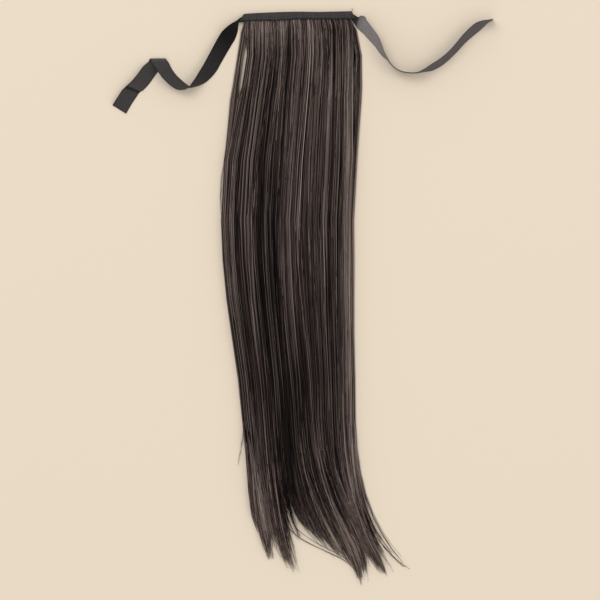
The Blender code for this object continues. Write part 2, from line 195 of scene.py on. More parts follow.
RIGHT_TIE_ROWS = (
    (44.4, 2.4, 44.4, 6.2, 3.8, 1.3),
    (50.0, 2.6, 50.0, 7.0, 4.4, 1.3),
    (54.6, 4.2, 51.6, 9.8, 7.0, 0.6),
    (57.4, 6.0, 54.4, 13.8, 9.0, 0.2),
    (60.6, 4.6, 56.0, 16.6, 14.0, 0.0),
    (64.8, 6.8, 58.2, 18.4),
    (66.4, 11.0, 60.4, 20.6),
    (69.2, 14.8, 62.8, 22.4),
    (73.2, 20.2, 66.4, 26.4),
    (77.9, 26.8, 71.2, 31.6),
    (81.0, 34.4, 75.8, 36.8),
    (84.2, 43.4, 81.8, 45.0),
    (88.2, 51.2, 88.2, 50.2),
    (90.8, 55.6, 91.3, 54.2),
    (95.4, 60.2, 96.1, 58.6),
    (100.9, 63.5, 101.6, 61.9),
    (107.9, 65.1, 108.6, 63.5),
    (116.0, 65.3, 116.8, 63.9),
    (121.6, 63.6, 122.5, 63.2),
    (126.2, 61.0, 127.6, 62.4),
    (132.2, 56.8, 134.8, 61.2),
    (140.4, 51.6, 143.6, 56.8),
    (149.2, 44.6, 152.8, 49.4),
    (157.0, 36.4, 161.6, 40.6),
    (163.8, 28.0, 169.0, 32.6),
    (171.0, 20.2, 176.4, 26.0),
    (178.8, 13.6, 183.0, 20.6),
    (184.8, 11.4, 188.8, 15.4),
    (190.2, 10.6, 192.6, 11.6),
    (196.9, 9.9, 198.3, 8.0),
)

# Light and shade painted along each tie: share of its rows, painted shading
# Steep and turned stretches are painted darker and the right tie's flap lighter, with a painted highlight at
# the left tie's fold and a painted dark crease near its end
LEFT_TIE_PAINTED_SHADING = (
    (0.0, 0.25), (0.10, 0.12), (0.20, 0.16), (0.28, 0.42), (0.36, 0.62), (0.42, 0.70), (0.50, 0.92),
    (0.60, 0.88), (0.66, 0.92), (0.685, 1.2), (0.72, 1.4), (0.735, 0.75), (0.80, 0.90), (0.88, 1.0),
    (0.897, 1.25), (0.904, 0.3), (0.912, 0.3), (0.925, 0.86), (1.0, 0.84),
)
RIGHT_TIE_PAINTED_SHADING = (
    (0.0, 0.50), (0.115, 0.60), (0.135, 2.8), (0.19, 4.2), (0.30, 4.5), (0.40, 4.2), (0.46, 3.2),
    (0.58, 2.2), (0.64, 1.95), (0.80, 1.8), (1.0, 2.1),
)
# Level of the band's painted light and shade
BAND_PAINTED_SHADING_LEVEL = 0.74

# Ribbon shape and stitches, and widths of the band's painted shade
TAPE = 0.75
TIE_STEPS = 6
BAND_STEP = 0.6
BAND_ROW_STEPS = 8
EDGE_SHARES = (
    0.0, 0.012, 0.035, 0.06, 0.09, 0.13, 0.2, 0.3, 0.4, 0.5, 0.6, 0.7, 0.8, 0.87, 0.91, 0.94, 0.965,
    0.988, 1.0,
)
EDGE_ROUND = (0.0, 0.012, 0.035, 0.06, 0.1)
EDGE_THICKNESS = (0.45, 0.9, 1.2, 1.15, 1.0)
TIE_CUP = 0.12
STANDING_CUP = 0.5
CUP_WAVES = (0.6, 6)
END_SLANT = (6.5, 5.5)
END_REACH = 10.0
END_DROP = 1.2
STITCH_DROP = 2.7
STITCH_PITCH = 3.1
STITCH_LENGTH = 2.2
STITCH_RADIUS = 0.2
STITCH_SINK = 1.2
STITCH_CROWN = 1.8
STITCH_MARGIN = 2.0
STITCH_POINTS = 120
PUCKER = 0.16
PUCKER_WIDTH = 0.6
# Painted shade at the band's lower edge and at its fold; the waves and ripples along the band are painted
# light and shade, and the waves also shape its lower edge
LOW_EDGE_WIDTH = 1.2
FOLD_SHADE_WIDTH = 0.07
BAND_WAVES = (0.1, 9)
PAINTED_RIPPLE_SHADE = 0.05
PAINTED_RIPPLE_TURNS = range(9, 60, 7)

# Weave and colour of the ribbon
THREAD_SPACING = 0.55
SELVEDGE = (1.3, 0.7, 0.72)
WEAVE_SHARE = 0.14
FUZZ_SHARE = 0.5
CLOUD_SHARE = 0.35
PLAIN_SHARE = 0.55
RIBBON_COLOUR = (0.052, 0.047, 0.048)

# Strands
ROW_PICK = (1, 3, 4, 6, 8, 9, 11, 13, 14, 15, 16, 17, 18)
TAIL_START = 18
TAIL_STEPS = 7
TAIL_PULL = (0.49, 0.26)
STRAND_RADIUS = 0.24
STRAND_TONE = 0.376
STRAND_SIDES = 3
STRAND_SIZES = (0.8, 1.25)
STRAND_TAPER = (0.72, 1.0, 1.0, 0.4)
STRAND_WANDER = 4.0
SHORTEST_STRAND = 0.95
TONE_SPREAD = 0.3
TONE_LIMITS = (0.03, 0.97)
ROOT_HOLD = (0.0, 0.3, 0.15, 1.0)
NOISE_LENGTHS = 5.0
NOISE_FIELD = 90.0
TIP_WARMTH = (0.75, 1.0, 0.0, 0.35)

# Room of one strand in its map: across and along the strand
MAP_WIDTH = 0.004
MAP_NUDGE = 0.002
MAP_LENGTH = 0.96
MAP_MARGIN = 0.02

# Clumps and wisps of a lock, in shares of a clump's width or of the layer's height
CLUMP_WIDTH = 2.4
CLUMP_SHIFT = 0.25
CLUMP_WAVE = 0.14
CLUMP_DEPTHS = (-0.06, 0.02)
PINCH = 0.9
PINCH_WAVE = 0.3
PINCH_LIMITS = (0.4, 1.15)
ROOT_CALM = 2.6
LOCK_TONE_SPREAD = 0.02
CLUMP_TONE_SPREAD = 0.035
WISP_TONE_SPREAD = 0.18
WISP_TONE_WAVES = (0.13, 9)
WISP_REACH = 0.75
WISP_DRIFT = 0.4
WISP_SWAY = (0.3, 5)
WISP_DEPTHS = (-0.16, 0.03)
WISP_DEPTH_WAVES = (0.09, 8)
WISP_WIDTHS = (0.12, 0.34)
WISP_HEIGHTS = (0.12, 0.36)
TONE_LIFT = 0.25
TONE_LIFT_LIMIT = 0.05
DEPTH_LIMITS = (0.05, 1.06)
FLOOR_GAP = 0.05
ROOT_DROP = 6.0
ROOT_LENGTH = 30.0
ROOT_HEIGHT = 0.35
TAIL_SINK = 0.12
TAIL_SLIM = 0.5

# Tips of the strands
TIP_MIX = 0.022
TIP_SCATTER = 1.3
SCATTER_SIZES = (0.6, 2.4)
SCATTER_CHANCES = (0.75, 0.25)
SLANT_SPREAD = 0.16
SHORT_FACTOR = 2.6
SHORT_POWER = 0.75
SHORT_LIMIT = 0.6

# Layers of wisps: level in the layer, strands in a wisp, wisps in a clump
FRONT_TOP = (1.0, 6, 11)
FRONT_UNDER = (0.74, 5, 4)
BACK_OUTER = (0.95, 7, 9)
BACK_INNER = (0.95, 5, 5)
FRONT_SIDES = ("left", "left", "middle", "middle", "middle", "right", "right")
BACK_LEFT_LOCKS = 4

# Strands down the outer sides, one above the other
EDGE_STRANDS = 12
EDGE_SIZE = (0.5, 0.5)
EDGE_SHIFT = 0.03
EDGE_WAVE = 0.015
EDGE_TONE_SPREAD = 0.1
EDGE_TONE_WAVE = 0.07
EDGE_DEPTH_WAVE = 0.04
FRONT_EDGE_LEVELS = (0.2, 0.4, 0.6, 0.8)
BACK_EDGE_LEVELS = (0.1, 0.25, 0.4, 0.55, 0.7, 0.85)
FRONT_EDGES = (0.05, 0.95)
BACK_EDGES = (0.07, 0.93)

# Single hairs outside the outline and across the layers
OUTLINE_AMOUNTS = (20, 34)
OUTLINE_START = 0.01
OUTLINE_SPREAD = 0.03
OUTLINE_WAVES = (0.04, 5)
OUTLINE_TONES = (0.55, 0.92)
OUTLINE_LEVELS = (0.3, 0.95)
OUTLINE_SIZE = (0.4, 0.3)
OUTLINE_SCATTER = 0.5
OUTLINE_SPAN = (-0.2, 1.2)
LOOSE_AMOUNTS = (150, 60)
LOOSE_SHARES = (0.05, 0.95)
LOOSE_LEAN = 0.3
LOOSE_WAVE = 0.12
LOOSE_TONES = (0.45, 0.85)
LOOSE_LEVEL = 1.03
LOOSE_SIZE = (0.8, 0.3)
LOOSE_SCATTER = 1.5
STRAY_LEVELS = (3.0, 0.6)
STRAY_TONE = 0.45
STRAY_SIZE = (0.6, 0.2)

# Cores under the strands
CORE_SHARES = (0.03, 0.12, 0.25, 0.4, 0.5, 0.6, 0.75, 0.88, 0.97)
CORE_STATIONS = range(1, len(HAIR_ROWS) + TAIL_STATIONS // 3)
CORE_INSET = 0.9
CORE_INSET_SHARE = 0.3
CORE_FOOT = 0.15
CORE_NARROWING = 2.2
CORE_MARGIN = 1.6
CORE_MAP_STEP = 0.25
CORE_MAP_SHIFT = 3.7
CORE_MAP_END = 2.03

# Where the hair ends, from left to right: share of its width up to here, tip across, tip drop, slant of
# the last stretch, how far the strands fall short of the tip
TIPS = (
    (0.045, -44.0, 548.0, 0.25, 13.0),
    (0.125, -34.6, 572.5, 0.22, 15.0),
    (0.15, -30.0, 562.0, 0.15, 18.0),
    (0.19, -14.0, 581.0, 0.50, 18.0),
    (0.245, -6.4, 589.0, 0.42, 16.0),
    (0.262, -12.0, 560.0, 0.30, 14.0),
    (0.278, -20.0, 521.0, 0.45, 8.0),
    (0.29, -0.8, 555.0, 0.50, 10.0),
    (0.33, -8.0, 528.0, 0.75, 9.0),
    (0.37, 6.0, 542.0, 0.95, 11.0),
    (0.40, 18.0, 552.0, 1.05, 13.0),
    (0.425, 29.0, 564.0, 1.1, 18.0),
    (0.455, 38.0, 564.0, 1.1, 15.0),
    (0.48, 47.0, 575.0, 1.1, 17.0),
    (0.505, 53.0, 581.0, 1.0, 20.0),
    (0.58, 58.5, 592.0, 0.18, 16.0),
    (0.67, 61.5, 600.0, 0.05, 15.0),
    (0.73, 65.0, 589.0, -0.05, 14.0),
    (0.78, 74.5, 576.0, 0.25, 13.0),
    (0.85, 80.0, 580.0, 0.45, 15.0),
    (0.95, 87.2, 588.3, 0.58, 16.0),
    (0.99, 92.0, 576.5, 0.90, 32.0),
    (1.10, 106.0, 577.5, 1.15, 60.0),
)

# Lighter and darker places in the hair, partly painted sheen and shade and partly the hair's own tone:
# across, drop, half its width, half its length, amount
PAINTED_LIGHT_AND_TONE_PATCHES = (
    (-5.0, 380.0, 75.0, 120.0, -0.07),
    (-52.0, 390.0, 14.0, 50.0, -0.08),
    (-32.0, 18.0, 36.0, 20.0, 0.19),
    (38.0, 30.0, 20.0, 30.0, -0.10),
    (26.0, 88.0, 10.0, 34.0, 0.10),
    (32.0, 92.0, 9.0, 40.0, -0.09),
    (13.5, 25.0, 8.0, 24.0, 0.07),
    (13.5, 110.0, 9.0, 110.0, 0.05),
    (50.0, 230.0, 8.0, 230.0, 0.27),
    (-61.0, 330.0, 13.0, 120.0, -0.07),
    (-82.0, 240.0, 9.0, 120.0, -0.06),
    (52.0, 430.0, 9.0, 110.0, 0.14),
    (-76.0, 190.0, 12.0, 80.0, 0.06),
    (-34.0, 250.0, 14.0, 90.0, -0.10),
    (-14.0, 440.0, 16.0, 90.0, -0.16),
    (12.0, 420.0, 26.0, 110.0, -0.08),
    (-50.0, 520.0, 14.0, 50.0, 0.16),
    (20.0, 575.0, 110.0, 30.0, 0.18),
)

# Lines along the hair: amount of light, how far the strands sink, half its width, points
LINES = (
    (-0.30, 0.30, 2.4, ((-41.6, 113.0), (-42.6, 176.0), (-45.8, 249.0), (-42.0, 301.0), (-36.0, 350.0))),
    (-0.14, 0.15, 2.6, ((-32.0, 197.0), (-30.0, 259.0), (-25.0, 332.0), (-19.8, 405.0))),
    (-0.26, 0.35, 5.0, ((-22.0, 390.0), (-17.7, 446.0), (-12.0, 498.0), (-4.0, 524.0))),
    (-0.24, 0.30, 4.0, ((20.0, 465.0), (36.0, 510.0), (50.0, 545.0))),
    (-0.14, 0.12, 1.5, ((5.2, 124.0), (3.1, 197.0), (2.1, 301.0))),
    (-0.14, 0.12, 1.5, ((29.0, 155.0), (28.0, 259.0), (25.0, 342.0), (28.0, 420.0))),
    (-0.18, 0.2, 1.7, ((-61.0, 87.0), (-65.5, 145.0), (-67.6, 217.0), (-62.0, 300.0))),
    (-0.14, 0.12, 1.4, ((40.0, 20.0), (39.0, 60.0), (41.0, 110.0))),
    (-0.16, 0.15, 1.6, ((44.0, 330.0), (43.0, 400.0), (48.0, 480.0))),
    (0.24, -0.05, 2.4, ((-54.0, 145.0), (-54.0, 217.0), (-53.0, 290.0), (-46.8, 347.0), (-32.0, 405.0))),
    (0.12, 0.0, 5.0, ((32.0, 50.0), (28.0, 93.0), (27.0, 135.0))),
    (0.10, 0.0, 4.0, ((43.7, 113.0), (43.7, 249.0), (44.7, 405.0))),
    (0.18, 0.0, 2.6, ((15.6, 446.0), (28.0, 509.0), (51.0, 560.0))),
    (0.20, 0.0, 3.4, ((49.0, 436.0), (59.3, 498.0), (78.0, 550.0))),
    (0.20, 0.0, 5.0, ((-53.0, 477.0), (-42.6, 529.0), (-20.0, 580.0))),
    (0.12, 0.0, 2.0, ((-70.0, 130.0), (-74.0, 220.0), (-70.0, 300.0))),
)

# Gaps that let the floor show beside the side locks: half its width, points
SLITS = (
    (1.7, ((-58.0, 25.0), (-60.2, 46.0), (-63.6, 68.0), (-66.0, 85.0))),
    (0.75, ((52.6, 20.0), (53.4, 45.8), (53.6, 60.0), (52.8, 78.0))),
)

# Stray hairs: how many, points
STRAYS = (
    (2, ((-62.0, 432.0), (-63.5, 446.0), (-66.0, 460.0), (-68.0, 473.0))),
    (2, ((-80.5, 145.0), (-83.4, 165.0), (-85.6, 185.0), (-84.6, 214.0))),
    (1, ((48.0, 3.0), (50.0, 1.0), (51.0, -2.0), (50.6, -4.0))),
    (2, ((-20.0, 528.0), (-1.0, 550.0), (29.0, 565.0), (54.0, 581.4))),
    (2, ((-14.0, 520.0), (2.0, 546.0), (32.0, 563.0), (50.0, 578.0))),
    (2, ((80.0, 550.0), (92.0, 566.0), (104.0, 576.0), (112.3, 581.4))),
    (2, ((76.0, 548.0), (90.0, 563.0), (99.0, 573.0), (106.0, 579.0))),
    (2, ((-38.0, 540.0), (-35.0, 552.0), (-32.0, 562.0), (-31.0, 571.0))),
)


def place(across, drop, up):
    return Vector((ORIGIN_X + across * MM, ORIGIN_Y - drop * MM, up * MM))


def place_all(across, drop, up):
    return np.stack((ORIGIN_X + across * MM, ORIGIN_Y - drop * MM, up * MM), axis=1)


# Hair layers, as the solids have them

def interpolate(rows, key, column):
    return np.interp(key, [row[0] for row in rows], [row[column] for row in rows])


def follow_band(across, drop):
    """Drop of a hair station, which keeps the band's slant near the band and loses it below."""
    return drop + interpolate(BAND_ROWS, across, 1) * max(0.0, 1.0 - drop / SLANT_FADE)


def lock_shares(locks, drop):
    """Boundaries between the locks as shares of the width, which wander a little down the hair."""
    widths = np.array([lock[0] for lock in locks])
    shares = np.concatenate(([0.0], np.cumsum(widths) / widths.sum()))
    wander = WANDER * min(1.0, max(0.0, drop / WANDER_DROP - 1.0))
    for index in range(2, len(locks) - 1):
        shares[index] += wander * math.sin(drop / WANDER_LENGTH + WANDER_TURN * index)
    return shares


def open_half_width(slits, boundary, drop):
    for slit, opens, closes, half in slits:
        if slit == boundary and opens < drop < closes:
            return half * math.sin(math.pi * (drop - opens) / (closes - opens)) + SLIT_CLEARANCE
    return 0.0


def row_stations(locks, slits, front):
    """Left and right edge of every lock at each row of the hair, as (across, drop) pairs."""
    stations = []
    for drop, left, right, *_ in HAIR_ROWS:
        inset = np.interp(drop, INSET_DROPS, FRONT_INSETS) if front else 0.0
        low, high = left + inset, right - inset
        shares = lock_shares(locks, drop)
        station = []
        for index in range(len(locks)):
            near = low + shares[index] * (high - low) + open_half_width(slits, index, drop)
            far = low + shares[index + 1] * (high - low) - open_half_width(slits, index + 1, drop)
            station.append(((near, follow_band(near, drop)), (far, follow_band(far, drop))))
        stations.append(station)
    return stations


def tail_edges(root, lock, part):
    """Edges of one lock's tail at a part of its length, from its root row to its tip."""
    left, right = Vector(root[0]), Vector(root[1])
    start = (left + right) / 2
    tip = Vector((lock[1], lock[2]))
    bend = start + Vector((TAIL_LEAN + lock[4], 1.0)) * (TAIL_BEND * (tip - start).length)
    point = start * (1 - part) ** 2 + bend * (2 * part * (1 - part)) + tip * part ** 2
    along = ((bend - start) * (1 - part) + (tip - bend) * part).normalized()
    aside = Vector((along.y, -along.x))
    spent = part ** lock[5]
    half = (right - left).length / 2 * (1 - spent) + TIP_WIDTH / 2 * spent
    return point - aside * half, point + aside * half


def layer_heights(front, drop, part):
    """Underside and top of one layer at a drop, and at a part of the tail beyond the last row."""
    last = HAIR_ROWS[-1]
    drops = [row[0] for row in HAIR_ROWS] + [LONGEST_DROP]
    middle = np.interp(drop, drops, [row[4] for row in HAIR_ROWS] + [TIP_LEVEL])
    if front:
        under = middle + CLEARANCE
        full = last[5] - last[4] - CLEARANCE
        rows = np.maximum(interpolate(HAIR_ROWS, drop, 5) - under, TIP_THICKNESS)
        thickness = np.where(part > 0, full, rows)
    else:
        under = interpolate(HAIR_ROWS, drop, 3)
        thickness = middle - under
    thinned = thickness * (1 - part) + TIP_THICKNESS * part
    return under, under + np.minimum(thickness, thinned)


class Layer:
    """One layer of hair, whose locks are followed station by station from the band to their tips."""

    def __init__(self, locks, slits, front):
        rows = row_stations(locks, slits, front)
        parts = [(step + 1) / TAIL_STATIONS for step in range(TAIL_STATIONS)]
        edges = np.array(rows + [
            [tail_edges(root, lock, part) for root, lock in zip(rows[-1], locks)] for part in parts
        ])
        self.front = front
        self.count = len(locks)
        self.left, self.right = edges[:, :, 0], edges[:, :, 1]
        self.part = np.array([0.0] * len(rows) + parts)
        self.row_drop = np.array([row[0] for row in HAIR_ROWS] + [0.0] * TAIL_STATIONS)
        first, last = self.left[:, 0, 0], self.right[:, -1, 0]
        self.centre = (first + last) / 2
        self.reach = np.maximum((last - first) / 2, 1.0)

    def width(self, lock):
        """Width of a lock where it is widest."""
        return np.linalg.norm(self.right[:, lock] - self.left[:, lock], axis=1).max()

    def surface(self, lock, share):
        """Across, drop, underside and top along one lock, at a share of its width."""
        point = self.left[:, lock] + np.asarray(share)[..., None] * (self.right[:, lock] - self.left[:, lock])
        across, drop = point[:, 0], point[:, 1]
        low, high = layer_heights(self.front, np.where(self.part > 0, drop, self.row_drop), self.part)
        side = np.abs((across - self.centre) / self.reach) ** SIDE_POWER
        side = np.where(self.part > 0, TAIL_SIDE, side)
        crown = np.interp(share, LOCK_CROWN_AT, LOCK_CROWN)
        dip = np.minimum(VALLEY, VALLEY_SHARE * (high - low)) * (1 - crown)
        return across, drop, low, low + (high - low) * (1 - SIDE_FALL * side) - dip


# Nodes

def add_node(tree, kind, *values, **settings):
    """New node whose open sockets take the values in turn: a socket to link, a constant or None."""
    node = tree.nodes.new(kind)
    for name, value in settings.items():
        setattr(node, name, value)
    for socket, value in zip([socket for socket in node.inputs if socket.enabled], values):
        if isinstance(value, bpy.types.NodeSocket):
            tree.links.new(value, socket)
        elif value is not None:
            socket.default_value = value
    return node


def result(tree, kind, *values, **settings):
    """First open output of a new node."""
    node = add_node(tree, kind, *values, **settings)
    return next(socket for socket in node.outputs if socket.enabled)


def maths(tree, operation, *values):
    return result(tree, "ShaderNodeMath", *values, operation=operation)


def times(tree, first, second):
    return maths(tree, "MULTIPLY", first, second)


def plus(tree, first, second):
    return maths(tree, "ADD", first, second)


def new_tree(name, inputs):
    """Geometry tree with named inputs, and its two end nodes."""
    tree = bpy.data.node_groups.new(name, "GeometryNodeTree")
    tree.interface.new_socket("Geometry", in_out="INPUT", socket_type="NodeSocketGeometry")
    for label, kind in inputs:
        tree.interface.new_socket(label, in_out="INPUT", socket_type=kind)
    tree.interface.new_socket("Geometry", in_out="OUTPUT", socket_type="NodeSocketGeometry")
    return tree, tree.nodes.new("NodeGroupInput"), tree.nodes.new("NodeGroupOutput")


def end_tree(tree, given, taken, geometry):
    """Plain geometry in the given material as the tree's result."""
    whole = result(tree, "GeometryNodeRealizeInstances", geometry)
    finished = result(tree, "GeometryNodeSetMaterial", whole, True, given.outputs["Material"])
    tree.links.new(finished, taken.inputs[0])
    return tree


def named(tree, name, data_type="FLOAT"):
    return result(tree, "GeometryNodeInputNamedAttribute", name, data_type=data_type)


def strand_tree():
    """Copies every guide into strands that spread, wander and end on their own, and makes them tubes."""
    tree, given, taken = new_tree("strands", (
        ("Radius", "NodeSocketFloat"),
        ("Wander", "NodeSocketFloat"),
        ("Shortest", "NodeSocketFloat"),
        ("Tone spread", "NodeSocketFloat"),
        ("Seed", "NodeSocketInt"),
        ("Material", "NodeSocketMaterial"),
    ))
    index = result(tree, "GeometryNodeInputIndex")

    def per_strand(low, high, number):
        seed = plus(tree, given.outputs["Seed"], float(number))
        value = result(tree, "FunctionNodeRandomValue", low, high, index, seed)
        return result(tree, "GeometryNodeFieldOnDomain", value, domain="CURVE")

    curves = result(tree, "GeometryNodeMeshToCurve", given.outputs["Geometry"])
    count = named(tree, "count", "INT")
    copies = result(tree, "GeometryNodeDuplicateElements", curves, True, count, domain="SPLINE")
    along = named(tree, "along")
    angle = per_strand(0.0, math.tau, 1)
    reach = maths(tree, "SQRT", per_strand(0.0, 1.0, 2))
    aside = times(tree, maths(tree, "COSINE", angle), reach)
    above = times(tree, maths(tree, "SINE", angle), reach)
    where = result(
        tree, "ShaderNodeCombineXYZ", times(tree, along, NOISE_LENGTHS),
        per_strand(0.0, NOISE_FIELD, 3), per_strand(0.0, NOISE_FIELD, 4),
    )
    noise = result(tree, "ShaderNodeTexNoise", where, 1.0, 1.0)
    freedom = result(tree, "ShaderNodeMapRange", along, *ROOT_HOLD)
    wander = times(tree, given.outputs["Wander"], freedom)
    drift = times(tree, maths(tree, "SUBTRACT", noise, 0.5), wander)
    sideways = times(tree, plus(tree, aside, drift), named(tree, "half_width"))
    upward = times(tree, above, named(tree, "half_height"))
    shift = result(tree, "ShaderNodeVectorMath", named(tree, "aside", "FLOAT_VECTOR"), operation="SCALE")
    tree.links.new(sideways, shift.node.inputs["Scale"])
    lift = result(tree, "ShaderNodeCombineXYZ", 0.0, 0.0, upward)
    offset = result(tree, "ShaderNodeVectorMath", shift, lift, operation="ADD")
    moved = result(tree, "GeometryNodeSetPosition", copies, True, None, offset)
    spread = times(tree, given.outputs["Tone spread"], per_strand(-0.5, 0.5, 5))
    tone = plus(tree, named(tree, "tone"), spread)
    tone = result(tree, "ShaderNodeClamp", tone, *TONE_LIMITS)
    toned = result(tree, "GeometryNodeStoreNamedAttribute", moved, True, "strand_tone", tone)
    short = maths(tree, "POWER", per_strand(0.0, 1.0, 6), 2.0)
    missing = maths(tree, "SUBTRACT", 1.0, given.outputs["Shortest"])
    end = maths(tree, "SUBTRACT", 1.0, times(tree, short, missing))
    cut = result(tree, "GeometryNodeTrimCurve", toned, True, 0.0, end)
    taper = result(tree, "ShaderNodeMapRange", along, *STRAND_TAPER)
    size = times(tree, taper, per_strand(*STRAND_SIZES, 7))
    circle = result(tree, "GeometryNodeCurvePrimitiveCircle", STRAND_SIDES, given.outputs["Radius"])
    profile = result(tree, "GeometryNodeStoreNamedAttribute", circle, True, "side", index)
    tubes = result(tree, "GeometryNodeCurveToMesh", cut, profile, size, True)
    side = named(tree, "side")
    across_map = plus(tree, named(tree, "strand_tone"), times(tree, side, MAP_WIDTH))
    nudge = times(tree, maths(tree, "SINE", times(tree, side, 2.0)), MAP_NUDGE)
    along_map = plus(tree, times(tree, along, MAP_LENGTH), nudge)
    along_map = plus(tree, along_map, MAP_MARGIN)
    place_map = result(tree, "ShaderNodeCombineXYZ", across_map, along_map, 0.0)
    mapped = result(
        tree, "GeometryNodeStoreNamedAttribute", tubes, True, "OFBake", place_map,
        data_type="FLOAT2", domain="CORNER",
    )
    smooth = result(tree, "GeometryNodeSetShadeSmooth", mapped, True, True)
    return end_tree(tree, given, taken, smooth)


def stitch_tree():
    """Lays a short bowed stitch at every pitch along a line."""
    tree, given, taken = new_tree("stitches", (
        ("Pitch", "NodeSocketFloat"),
        ("Length", "NodeSocketFloat"),
        ("Radius", "NodeSocketFloat"),
        ("Material", "NodeSocketMaterial"),
    ))
    line = result(tree, "GeometryNodeMeshToCurve", given.outputs["Geometry"])
    points = add_node(tree, "GeometryNodeCurveToPoints", line, mode="LENGTH")
    tree.links.new(given.outputs["Pitch"], points.inputs["Length"])
    turn = result(tree, "FunctionNodeAlignRotationToVector", None, 1.0, points.outputs["Tangent"], axis="X")
    half = times(tree, given.outputs["Length"], 0.5)
    back = times(tree, half, -1.0)
    sink = times(tree, given.outputs["Radius"], -STITCH_SINK)
    crown = times(tree, given.outputs["Radius"], STITCH_CROWN)
    start = result(tree, "ShaderNodeCombineXYZ", back, 0.0, sink)
    middle = result(tree, "ShaderNodeCombineXYZ", 0.0, 0.0, crown)
    finish = result(tree, "ShaderNodeCombineXYZ", half, 0.0, sink)
    bow = result(tree, "GeometryNodeCurveQuadraticBezier", 6, start, middle, finish)
    circle = result(tree, "GeometryNodeCurvePrimitiveCircle", 7, given.outputs["Radius"])
    stitch = result(tree, "GeometryNodeCurveToMesh", bow, circle, 1.0, True)
    smooth = result(tree, "GeometryNodeSetShadeSmooth", stitch, True, True)
    laid = add_node(tree, "GeometryNodeInstanceOnPoints", points.outputs["Points"], True, smooth)
    tree.links.new(turn, laid.inputs["Rotation"])
    return end_tree(tree, given, taken, laid.outputs["Instances"])


def grown(name, source, tree, sizes, material):
    """Plain mesh object made by a tree from a source mesh."""
    helper = bpy.data.objects.new(name + "_guides", source)
    bpy.context.collection.objects.link(helper)
    modifier = helper.modifiers.new("grow", "NODES")
    modifier.node_group = tree
    for item in tree.interface.items_tree:
        if item.in_out == "INPUT" and item.name in sizes:
            modifier[item.identifier] = sizes[item.name]
        if item.in_out == "INPUT" and item.name == "Material":
            modifier[item.identifier] = material
    depsgraph = bpy.context.evaluated_depsgraph_get()
    mesh = bpy.data.meshes.new_from_object(
        helper.evaluated_get(depsgraph), preserve_all_data_layers=True, depsgraph=depsgraph,
    )
    helper.modifiers.remove(modifier)
    bpy.data.objects.remove(helper)
    for spare in ("along", "tone", "half_width", "half_height", "aside", "count", "strand_tone", "side"):
        if spare in mesh.attributes:
            mesh.attributes.remove(mesh.attributes[spare])
    mesh.name = name
    piece = bpy.data.objects.new(name, mesh)
    bpy.context.collection.objects.link(piece)
    return piece


# Materials

def new_material(name, roughness, specular):
    material = bpy.data.materials.new(name)
    material.use_nodes = True
    tree = material.node_tree
    shader = tree.nodes["Principled BSDF"]
    shader.inputs["Roughness"].default_value = roughness
    shader.inputs["Specular IOR Level"].default_value = specular
    return material, tree, shader


def add_bump(tree, shader, height, strength, distance):
    bump = add_node(tree, "ShaderNodeBump", strength, distance)
    tree.links.new(height, bump.inputs["Height"])
    tree.links.new(bump.outputs["Normal"], shader.inputs["Normal"])


def colour_ramp(tree, factor, stops):
    node = add_node(tree, "ShaderNodeValToRGB", factor)
    ramp = node.color_ramp
    while len(ramp.elements) < len(stops):
        ramp.elements.new(0.5)
    for element, (position, colour) in zip(ramp.elements, stops):
        element.position = position
        element.color = (*colour, 1.0)
    return node.outputs["Color"]


STRAND_STOPS = (
    (0.0, (0.0014, 0.0009, 0.0009)),
    (0.28, (0.0085, 0.0054, 0.0050)),
    (0.45, (0.030, 0.0202, 0.0183)),
    (0.62, (0.088, 0.0645, 0.0585)),
    (0.82, (0.21, 0.163, 0.147)),
    (1.0, (0.36, 0.285, 0.25)),
)
WARM_COLOUR = (0.62, 0.5, 0.44, 1.0)
# Painted shade: the cores take the hair's dark brown darkened to near black, standing for the shadowed hair
# deep under the strands
CORE_SHADED_HAIR_STOPS = ((0.3, (0.002, 0.0015, 0.0015)), (0.55, (0.008, 0.0055, 0.005)), (0.75, (0.022, 0.015, 0.013)))
THREAD_STOPS = ((0.3, (0.045, 0.043, 0.05)), (0.7, (0.12, 0.115, 0.13)))
FLOOR_COLOUR = (0.722, 0.627, 0.508, 1.0)

# Noise: scale, detail, roughness
CORE_STRETCH = (26.0, 2.0, 1.0)
CORE_NOISE = (1.0, 4.0, 0.7)
FUZZ_NOISE = (2.4, 3.0, 0.65)
CLOUD_NOISE = (0.22, 2.0, 0.5)
TWIST_NOISE = (2600.0, 2.0)

# Bump: strength, depth in metres
CORE_BUMP = (0.8, 0.0004)
WEAVE_BUMP = (0.55, 0.00016)


def strand_material():
    """Hair whose colour is set strand by strand from a tone that carries painted light and shade too, a
    little warmer and lighter towards the tips.
    """
    material, tree, shader = new_material("strand_fibre", roughness=0.42, specular=0.045)
    place_map = result(tree, "ShaderNodeUVMap", uv_map="OFBake")
    parts = add_node(tree, "ShaderNodeSeparateXYZ", place_map)
    tone, along = parts.outputs["X"], parts.outputs["Y"]
    colour = colour_ramp(tree, tone, STRAND_STOPS)
    tips = result(tree, "ShaderNodeMapRange", along, *TIP_WARMTH)
    warm = add_node(tree, "ShaderNodeMix", data_type="RGBA", blend_type="SOFT_LIGHT")
    tree.links.new(tips, warm.inputs["Factor"])
    tree.links.new(colour, warm.inputs["A"])
    warm.inputs["B"].default_value = WARM_COLOUR
    tree.links.new(warm.outputs["Result"], shader.inputs["Base Color"])
    return material


def core_material():
    """Painted shade: hair under the strands coloured near black, streaked along the locks."""
    material, tree, shader = new_material("shaded_hair", roughness=0.7, specular=0.05)
    lock_map = result(tree, "ShaderNodeUVMap", uv_map="lock_map")
    stretch = result(tree, "ShaderNodeMapping", lock_map, None, None, CORE_STRETCH)
    streaks = result(tree, "ShaderNodeTexNoise", stretch, *CORE_NOISE)
    colour = colour_ramp(tree, streaks, CORE_SHADED_HAIR_STOPS)
    tree.links.new(colour, shader.inputs["Base Color"])
    add_bump(tree, shader, streaks, *CORE_BUMP)
    return material


